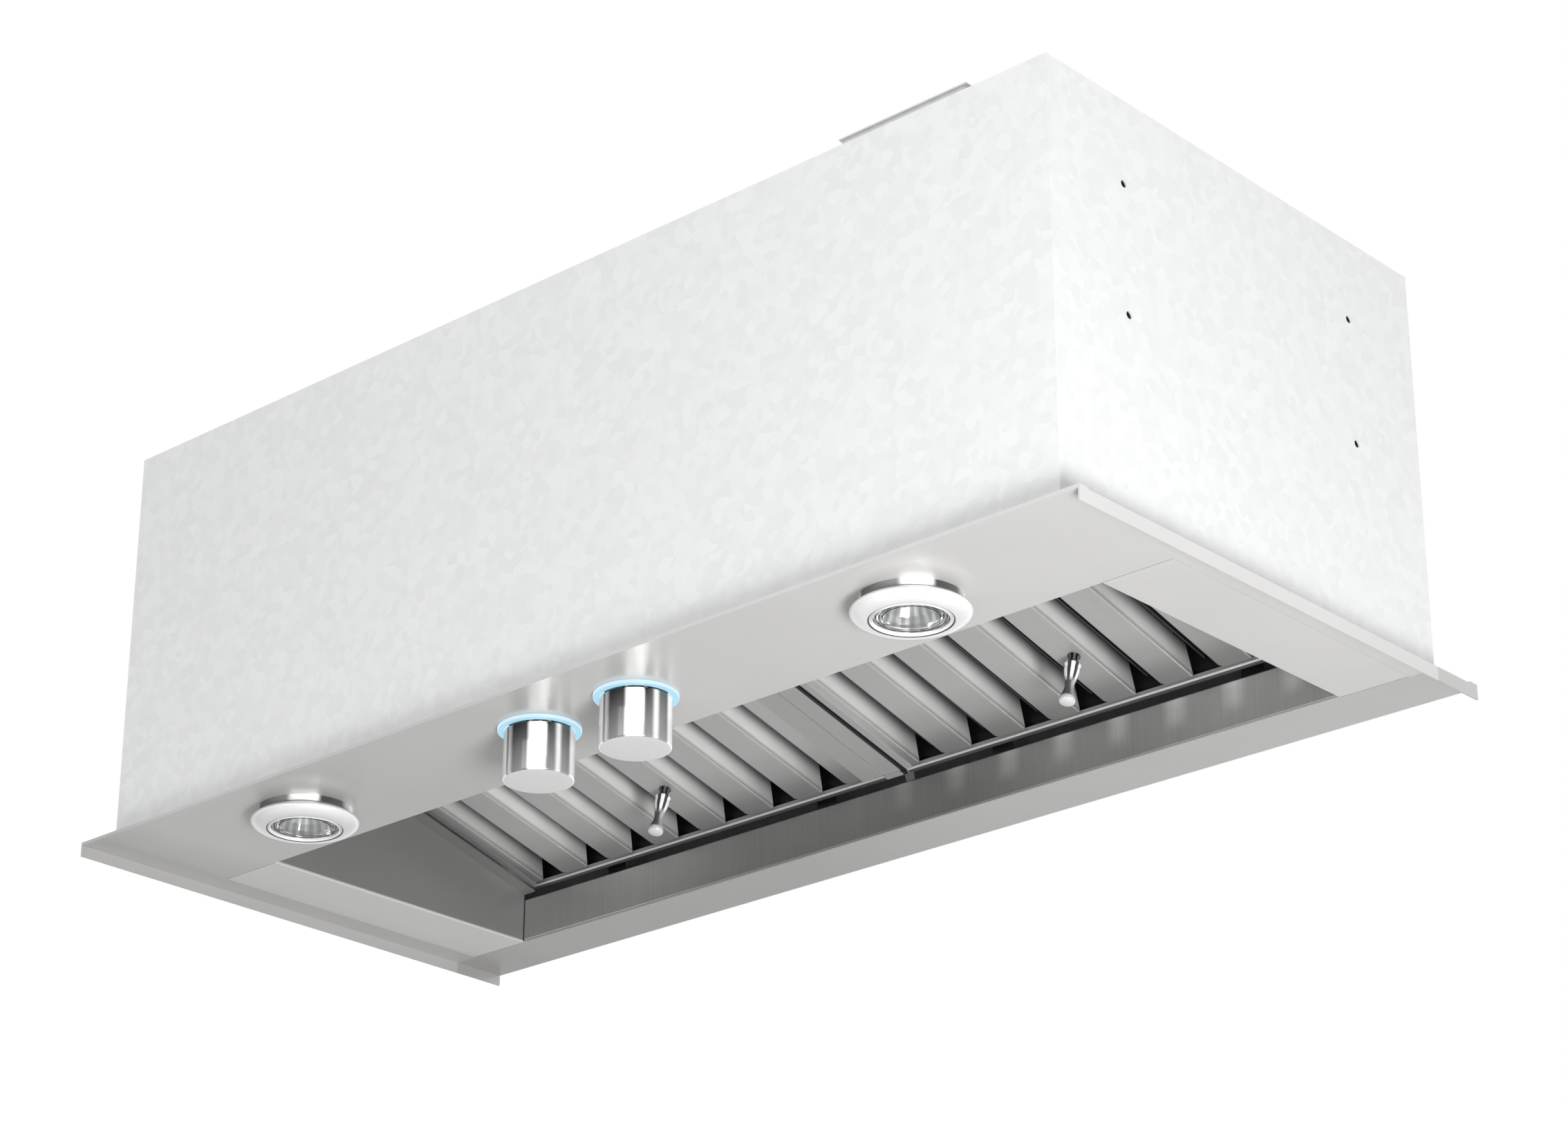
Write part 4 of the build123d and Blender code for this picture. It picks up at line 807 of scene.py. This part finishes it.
def add_bevel(piece, width, segments=3, angle=35.0):
    """Bevels a piece's edges that are sharper than an angle."""
    pick(piece)
    modifier = piece.modifiers.new("edge", "BEVEL")
    modifier.width = width
    modifier.segments = segments
    modifier.limit_method = "ANGLE"
    modifier.angle_limit = math.radians(angle)
    bpy.ops.object.modifier_apply(modifier=modifier.name)


def smooth(piece, angle=35.0):
    """Smooth shading up to an angle."""
    pick(piece)
    bpy.ops.object.shade_smooth_by_angle(angle=math.radians(angle))


# ---- operators
class HOOD_OT_sheet_finishes(bpy.types.Operator):
    """Give every CAD node its brushed, galvanised, plated or moulded finish"""

    bl_idname = "hood.sheet_finishes"
    bl_label = "Sheet finishes"

    def execute(self, context):
        baffle_steel = filter_steel("baffle_steel", BAFFLE_PAINTED_LIGHT_AND_SHADE, BAFFLE_PAINTED_SHADE_REACHES, BAFFLE_REACH)
        motor_black, switch_black = (0.03, 0.03, 0.032), (0.025, 0.025, 0.028)
        wearing = [
            (pan_sheet("pan_steel"), ["bottom_pan", "control_compartment_cover"]),
            (liner_steel("side_steel"), both("side_liner")),
            (wall_steel("recess_steel"), ["rear_liner"]),
            (baffle_steel, both("filter_lower_baffles")),
            (filter_steel("frame_steel", INNER_PAINTED_SHADE, RAIL_PAINTED_SHADE_AND_HIGHLIGHT), both("filter_frame")),
            (filter_steel("inner_steel", INNER_PAINTED_SHADE), both("filter_upper_baffles")),
            (mullion_steel("mullion_steel"), ["centre_mullion"]),
            (galvanised_sheet("galvanised"), [
                "front_panel", "rear_panel", *both("side_panel"), "top_cover", "hanger_plates",
                "pivot_brackets", *both("lamp_can"), "switch_bracket", "blower_scroll",
                "blower_inlet_rings", "motor_bracket", "duct_collar", "damper_pin",
                "junction_box", "junction_box_cover", "housing_screws",
            ]),
            (polished_chrome("plated"), [
                "filter_pivot_rod", *both("lamp_bezel"), *both("lamp_ring"), *both("lamp_bulb"),
                *both("lamp_glass"), *both("filter_pull"), "fan_knob", "light_knob",
                "fan_shaft", "light_shaft", "motor_shaft", "fan_halo_ring", "light_halo_ring",
            ]),
            (brushed_steel("spring", (0.35, 0.37, 0.42), X_AXIS, 0.3), ["filter_catches"]),
            (moulded_plastic("black_motor", motor_black, 0.45), ["blower_motor"]),
            (
                moulded_plastic("black_moulding", switch_black, 0.5),
                ["fan_speed_switch", "light_dimmer"],
            ),
            (moulded_plastic("pale_moulding", (0.62, 0.62, 0.60), 0.5), ["lamp_driver"]),
            (moulded_plastic("ceramic", (0.72, 0.70, 0.64), 0.55), ["lampholders"]),
            (moulded_plastic("board", (0.02, 0.12, 0.05)), ["halo_light_boards"]),
            (polished_chrome("yellow_brass", (0.70, 0.55, 0.28), 0.2), ["switch_nuts"]),
            (
                brushed_steel("aluminium", (0.70, 0.71, 0.72), X_AXIS, 0.4),
                ["impeller", "impeller_blades", "front_damper_flap", "rear_damper_flap"],
            ),
        ]
        dressed = set()
        for material, nodes in wearing:
            for node in nodes:
                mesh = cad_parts[node].data
                mesh.materials.clear()
                mesh.materials.append(material)
            dressed.update(nodes)
        left_bare = set(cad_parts) - dressed
        if left_bare:
            raise RuntimeError(f"no finish for {sorted(left_bare)}")
        return {"FINISHED"}


class HOOD_OT_control_knobs(bpy.types.Operator):
    """Model both turned control knobs, polished round the side and satin on the end"""

    bl_idname = "hood.control_knobs"
    bl_label = "Control knobs"

    def execute(self, context):
        settings = context.scene.hood_knobs
        end = spun_end("knob_end", (0.69, 0.69, 0.685))
        inside = moulded_plastic("knob_inside", (0.05, 0.05, 0.05))
        shaft, hub, wall, end_wall = 3.05 * MM, 7.0 * MM, 3.0 * MM, 12.0 * MM
        for node, body in (("fan_knob", "fan_control"), ("light_knob", "light_control")):
            low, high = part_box(node)
            axis = Vector(node_centre(node))
            chrome = painted_reflection_chrome(f"{node}_chrome", axis, high.z, low.z)
            radius = (high.x - low.x) / 2
            hub_top, hollow_end = high.z - 0.1 * MM, low.z + end_wall
            rings = [
                (shaft, hub_top), (hub, hub_top), (hub, hollow_end),
                (radius - wall, hollow_end), (radius - wall, high.z), (radius, high.z),
                (radius, low.z), (radius / 2, low.z),
            ]
            knob = turned_piece(node_centre(node), rings, settings.segments, close_end=True)
            add_bevel(knob, settings.edge)
            smooth(knob)
            settle(knob, f"{node}_turned", body, [chrome, end, inside], [node])
            for face in knob.data.polygons:
                centre = face.center
                reach = (centre.xy - axis).length
                if abs(face.normal.z) > 0.99 and centre.z < low.z + 0.1 * MM:
                    face.material_index = 1
                elif centre.z > low.z + end_wall / 2 and reach < radius - wall / 2:
                    face.material_index = 2
        return {"FINISHED"}


class HOOD_OT_halo_rings(bpy.types.Operator):
    """Model the lit translucent rings between the knobs and the pan"""

    bl_idname = "hood.halo_rings"
    bl_label = "Halo rings"

    def execute(self, context):
        segments = context.scene.hood_knobs.segments
        band, shoulder, rounding = 4.55 * MM, 2.75 * MM, 1.1 * MM
        for node in ("fan_halo_ring", "light_halo_ring"):
            low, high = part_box(node)
            outer = (high.x - low.x) / 2
            inner, sleeve = outer - band, outer - shoulder
            glow = lit_ring(f"{node}_plastic", node_centre(node), inner, outer)
            rings = [
                (inner, high.z), (inner, low.z), (outer, low.z), (outer, PAN_FACE),
                (sleeve, PAN_FACE), (sleeve, high.z),
            ]
            ring = turned_piece(node_centre(node), rings, segments, loop=True)
            add_bevel(ring, rounding, 4)
            smooth(ring)
            ring.visible_diffuse = False
            settle(ring, f"{node}_moulded", "housing", [glow], [node])
        return {"FINISHED"}


class HOOD_OT_lamp_bezels(bpy.types.Operator):
    """Model the drop lamps' bezels, turned with a full round flange"""

    bl_idname = "hood.lamp_bezels"
    bl_label = "Lamp bezels"

    def execute(self, context):
        widest, edge, steps = PAN_FACE - BEZEL_DROP, 0.4 * MM, 12
        sleeve = BEZEL_NECK - 1.0 * MM
        segments = context.scene.hood_knobs.segments
        for node in both("lamp_bezel"):
            low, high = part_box(node)
            flange = (high.x - low.x) / 2 - BEZEL_RIM
            pearl = bezel_pearl(f"{node}_pearl", node_centre(node), PAN_FACE - NECK_DROP)
            rings = [(BEZEL_BORE, low.z + edge), (BEZEL_BORE, high.z), (sleeve, high.z)]
            rings += [(sleeve, PAN_FACE), (BEZEL_NECK, PAN_FACE)]
            rings += [(BEZEL_NECK + out * MM, PAN_FACE - down * MM) for out, down in SHOULDER]
            for step in range(steps + 1):
                angle = math.radians(90 * step / steps)
                reach = BEZEL_RIM + flange * math.cos(angle)
                rings.append((reach, widest - (widest - low.z) * math.sin(angle)))
            rings.append((BEZEL_BORE + edge, low.z))
            bezel = turned_piece(node_centre(node), rings, segments, loop=True)
            smooth(bezel, angle=40)
            settle(bezel, f"{node}_turned", "housing", [pearl], [node])
        return {"FINISHED"}


class HOOD_OT_lamp_optics(bpy.types.Operator):
    """Model each lamp's snap ring, cover glass and faceted reflector with its capsule"""

    bl_idname = "hood.lamp_optics"
    bl_label = "Lamp optics"

    def add_snap_ring(self, side, centre, segments):
        """Plated ring with three ridges below."""
        node = f"{side}_lamp_ring"
        low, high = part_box(node)
        outer = (high.x - low.x) / 2
        inner = outer - RING_WIDTH
        chrome = ring_chrome(f"{side}_ring_chrome", centre, inner, outer)
        rings = [(inner, high.z), (inner, low.z + 0.5 * MM)]
        for ridge in (2.15, 1.35, 0.55):
            crest = outer - ridge * MM
            rings += [(crest, low.z), (crest + 0.4 * MM, low.z + 0.6 * MM)]
        rings += [(outer, low.z + 0.7 * MM), (outer, high.z)]
        ring = turned_piece(centre, rings, segments, loop=True)
        add_bevel(ring, 0.1 * MM, 2)
        smooth(ring)
        settle(ring, f"{side}_lamp_snap_ring", "housing", [chrome], [node])

    def add_pane(self, side, centre, segments, glass):
        """Cover glass with four round grooves in its lower face."""
        node = f"{side}_lamp_glass"
        low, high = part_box(node)
        outer = (high.x - low.x) / 2
        middle = outer * 0.4
        rings = [(middle, low.z)]
        for groove in (8.4, 6.4, 4.4, 2.4):
            edge = outer - groove * MM
            rings += [(edge, low.z), (edge + 0.5 * MM, low.z + 0.45 * MM)]
            rings += [(edge + 1.0 * MM, low.z)]
        rings += [(outer, low.z), (outer, high.z), (middle, high.z)]
        pane = turned_piece(centre, rings, segments, close_end=True)
        fill_border(pane)
        smooth(pane)
        settle(pane, f"{side}_lamp_pane", "housing", [glass], [node])

    def add_reflector(self, side, centre, settings):
        """Bowl of facets that swells from the capsule's hole to the rim."""
        node = f"{side}_lamp_bulb"
        low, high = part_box(node)
        rim, neck, inner_neck, hole, wall = (
            size * MM for size in (25.3, 9.4, 8.2, 4.0, 1.6)
        )
        depth, lip, inner_lip = 24.0 * MM, 1.4 * MM, 0.6 * MM
        sweep = math.radians(66)
        inner_depth = depth - 2.0 * MM
        inner_top = low.z + inner_depth
        shares = [row / settings.facet_rows for row in range(1, settings.facet_rows + 1)]
        rings = [(rim, low.z), (rim, low.z + lip)]
        for share in shares:
            reach = max(rim * math.cos(share * sweep), neck)
            rings.append((reach, low.z + lip + (depth - lip) * share))
        rings += [(neck, high.z), (hole, high.z), (hole, inner_top - 0.2 * MM)]
        rings.append((inner_neck, inner_top))
        for share in reversed(shares[:-1]):
            reach = (rim - wall) * math.cos(share * sweep)
            rings.append((reach, low.z + inner_lip + (inner_depth - inner_lip) * share))
        rings.append((rim - wall, low.z))
        bowl = turned_piece(centre, rings, settings.facet_count, loop=True)
        add_bevel(bowl, 0.35 * MM, segments=1, angle=6)
        mirror = painted_facet_mirror(f"{side}_reflector_mirror", centre, settings.facet_count)
        settle(bowl, f"{side}_lamp_reflector", "housing", [mirror], [node])

    def add_capsule(self, side, centre, glass):
        """Glass capsule of the bulb, round at its lower end."""
        node = f"{side}_lamp_bulb"
        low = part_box(node)[0].z
        radius, tip_hole, steps = 3.6 * MM, 0.05 * MM, 6
        swell = low + 8.0 * MM + radius
        rings = []
        for step in range(steps + 1):
            angle = math.radians(88 * (step / steps - 1))
            reach = tip_hole + radius * math.cos(angle)
            rings.append((reach, swell + radius * math.sin(angle)))
        rings.append((radius, low + 22.0 * MM))
        capsule = turned_piece(centre, rings, CAPSULE_SEGMENTS, close_end=True)
        smooth(capsule, angle=60)
        settle(capsule, f"{side}_lamp_capsule", "housing", [glass])

    def execute(self, context):
        segments = context.scene.hood_knobs.segments
        settings = context.scene.hood_lamps
        glass, capsule_glass = clear_glass("lamp_glass"), clear_glass("capsule_glass")
        for side in ("left", "right"):
            centre = node_centre(f"{side}_lamp_ring")
            self.add_snap_ring(side, centre, segments)
            self.add_pane(side, centre, segments, glass)
            self.add_reflector(side, centre, settings)
            self.add_capsule(side, centre, capsule_glass)
        return {"FINISHED"}


class HOOD_OT_filter_pulls(bpy.types.Operator):
    """Model the turned spool pulls that stand square on the sloping filters"""

    bl_idname = "hood.filter_pulls"
    bl_label = "Filter pulls"

    def execute(self, context):
        end = spun_end("pull_end", (0.70, 0.70, 0.695))
        rings = [(radius * MM, height * MM) for radius, height in PULL_PROFILE]
        for side in ("left", "right"):
            node = f"{side}_filter_pull"
            pull = turned_piece((0.0, 0.0), rings, PULL_SEGMENTS, close_end=True)
            fill_border(pull)
            add_bevel(pull, 0.4 * MM, segments=2, angle=50)
            smooth(pull, angle=50)
            foot = pull_foot(side)
            chrome = pull_chrome(f"{node}_chrome", foot)
            pull.data.materials.append(chrome)
            pull.data.materials.append(end)
            for face in pull.data.polygons:
                if face.normal.z < -0.9 and face.center.z < (1.0 - PULL_LENGTH) * MM:
                    face.material_index = 1
            pull.rotation_euler = (-FILTER_SLOPE, 0.0, 0.0)
            pull.location = foot
            settle(pull, f"{node}_turned", f"{side}_filter", [chrome, end], [node])
        return {"FINISHED"}


class HOOD_OT_cover_screws(bpy.types.Operator):
    """Model the lid's pan-head screws with their cross recesses"""

    bl_idname = "hood.cover_screws"
    bl_label = "Cover screws"

    def screw_seats(self):
        """Middle of the underside of each screw in the CAD node."""
        scratch = bmesh.new()
        scratch.from_mesh(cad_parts["housing_screws"].data)
        bmesh.ops.remove_doubles(scratch, verts=scratch.verts, dist=1e-6)
        seats, seen = [], set()
        for vertex in scratch.verts:
            if vertex in seen:
                continue
            island, queue = [], [vertex]
            seen.add(vertex)
            while queue:
                here = queue.pop()
                island.append(here.co.copy())
                for edge in here.link_edges:
                    other = edge.other_vert(here)
                    if other not in seen:
                        seen.add(other)
                        queue.append(other)
            low = Vector(min(co[i] for co in island) for i in range(3))
            high = Vector(max(co[i] for co in island) for i in range(3))
            seats.append(((low.x + high.x) / 2, (low.y + high.y) / 2, low.z))
        scratch.free()
        return seats

    def screw_head(self):
        """One pan head with a cross cut into its top."""
        rings = [(radius * MM, height * MM) for radius, height in SCREW_PROFILE]
        head = turned_piece(
            (0.0, 0.0), rings, SCREW_SEGMENTS, close_start=True, close_end=True
        )
        smooth(head, angle=40)
        deselect_all()
        recess = (0.0, 0.0, RECESS_HEIGHT)
        bpy.ops.mesh.primitive_cube_add(size=1.0, location=recess)
        cutter = bpy.context.object
        cutter.scale = RECESS_ARM
        bpy.ops.object.transform_apply(location=True, scale=True)
        bpy.ops.object.mode_set(mode="EDIT")
        bpy.ops.mesh.select_all(action="SELECT")
        bpy.ops.mesh.duplicate_move()
        bpy.ops.transform.rotate(value=math.pi / 2, orient_axis="Z", center_override=recess)
        bpy.ops.object.mode_set(mode="OBJECT")
        cut = head.modifiers.new("recess", "BOOLEAN")
        cut.object = cutter
        cut.operation = "DIFFERENCE"
        cut.use_self = True
        bpy.context.view_layer.objects.active = head
        bpy.ops.object.modifier_apply(modifier=cut.name)
        bpy.data.objects.remove(cutter)
        return head

    def execute(self, context):
        zinc = polished_chrome("zinc_screw", (0.62, 0.64, 0.66), 0.22)
        seats, head = self.screw_seats(), self.screw_head()
        screws = []
        for number, seat in enumerate(seats):
            screw = head.copy()
            screw.data = head.data.copy()
            context.collection.objects.link(screw)
            screw.location = seat
            screw.rotation_euler = (0.0, 0.0, math.radians(SCREW_TURN * number % 90))
            screws.append(screw)
        bpy.data.objects.remove(head)
        pick(screws[0])
        for screw in screws:
            screw.select_set(True)
        bpy.ops.object.transform_apply(location=True, rotation=True, scale=True)
        bpy.ops.object.join()
        node = "housing_screws"
        settle(context.object, "housing_screw_heads", "housing", [zinc], [node])
        return {"FINISHED"}


class HOOD_OT_stage(bpy.types.Operator):
    """Set the camera, the soft lamps, the floor and the white surroundings"""

    bl_idname = "hood.stage"
    bl_label = "Stage"

    def add_camera(self, settings):
        """Camera below the insert, at its front right."""
        yaw, pitch = settings.camera_yaw, settings.camera_pitch
        aim = Vector(
            (-math.sin(yaw) * math.cos(pitch), math.cos(yaw) * math.cos(pitch), math.sin(pitch))
        )
        camera = bpy.data.cameras.new("camera")
        camera.lens = settings.lens
        camera.sensor_width = 36.0
        camera.sensor_fit = "HORIZONTAL"
        camera.clip_end = 50.0
        view = bpy.data.objects.new("camera", camera)
        bpy.context.collection.objects.link(view)
        view.location = settings.camera_place
        view.rotation_euler = aim.to_track_quat("-Z", "Y").to_euler()
        bpy.context.scene.camera = view

    def add_lamp(self, name, place, aim, sides, power):
        """Soft square lamp that the camera doesn't see."""
        lamp = bpy.data.lights.new(name, "AREA")
        lamp.shape = "RECTANGLE"
        lamp.size, lamp.size_y = sides
        lamp.energy = power
        box = bpy.data.objects.new(name, lamp)
        box.visible_camera = False
        bpy.context.collection.objects.link(box)
        box.location = place
        box.rotation_euler = (Vector(aim) - Vector(place)).to_track_quat("-Z", "Y").to_euler()

    def add_world(self):
        """White to the eye, in mirrors and through glass; grey as a source of light."""
        world = bpy.data.worlds.new("studio")
        bpy.context.scene.world = world
        world.use_nodes = True
        tree = world.node_tree
        tree.nodes.clear()
        ray = new_node(tree, "LightPath").outputs
        through = calculate(tree, "MAXIMUM", ray["Is Glossy Ray"], ray["Is Transmission Ray"])
        seen = calculate(tree, "MAXIMUM", ray["Is Camera Ray"], through)
        grey, white = (
            new_node(tree, "Background", {"Color": light}).outputs["Background"]
            for light in (0.34, 1.0)
        )
        mix = new_node(tree, "MixShader", {"Fac": seen, 1: grey, 2: white})
        new_node(tree, "OutputWorld", {"Surface": mix.outputs["Shader"]})

    def add_floor(self, settings):
        """Pale floor below the insert."""
        deselect_all()
        bpy.ops.mesh.primitive_grid_add(
            x_subdivisions=8, y_subdivisions=8, size=FLOOR_SIZE,
            location=(0.0, 0.0, PAN_FACE - settings.floor_drop),
        )
        floor = bpy.context.object
        bpy.ops.object.transform_apply(location=True)
        floor.name = "floor"
        paint, _ = new_finish("floor_paint")
        inputs = {"Base Color": settings.floor_colour, "Roughness": 0.7}
        floor.data.materials.append(finished(paint, inputs))

    def execute(self, context):
        settings = context.scene.hood_stage
        context.scene.view_settings.view_transform = "Standard"
        self.add_camera(settings)
        self.add_world()
        self.add_floor(settings)
        for lamp in LAMPS:
            self.add_lamp(*lamp)
        return {"FINISHED"}


class HOOD_PT_panel(bpy.types.Panel):
    """Lists the operators in the sidebar"""

    bl_idname = "HOOD_PT_panel"
    bl_label = "Range hood insert"
    bl_space_type = "VIEW_3D"
    bl_region_type = "UI"
    bl_category = "Hood"

    def draw(self, context):
        for operator in OPERATORS:
            self.layout.operator(operator.bl_idname)


SETTINGS = (
    ("hood_stage", HoodStageSettings),
    ("hood_steel", HoodSteelSettings),
    ("hood_knobs", HoodKnobSettings),
    ("hood_lamps", HoodLampSettings),
)
OPERATORS = (
    HOOD_OT_sheet_finishes,
    HOOD_OT_control_knobs,
    HOOD_OT_halo_rings,
    HOOD_OT_lamp_bezels,
    HOOD_OT_lamp_optics,
    HOOD_OT_filter_pulls,
    HOOD_OT_cover_screws,
    HOOD_OT_stage,
)


def register():
    """Registers the settings, operators and panel."""
    for name, group in SETTINGS:
        bpy.utils.register_class(group)
        setattr(bpy.types.Scene, name, PointerProperty(type=group))
    for operator in OPERATORS:
        bpy.utils.register_class(operator)
    bpy.utils.register_class(HOOD_PT_panel)


def unregister():
    """Removes what register added."""
    bpy.utils.unregister_class(HOOD_PT_panel)
    for operator in reversed(OPERATORS):
        bpy.utils.unregister_class(operator)
    for name, group in reversed(SETTINGS):
        delattr(bpy.types.Scene, name)
        bpy.utils.unregister_class(group)


def main():
    """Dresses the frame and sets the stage."""
    register()
    for operator in OPERATORS:
        family, name = operator.bl_idname.split(".")
        getattr(getattr(bpy.ops, family), name)()


if __name__ == "__main__":
    main()
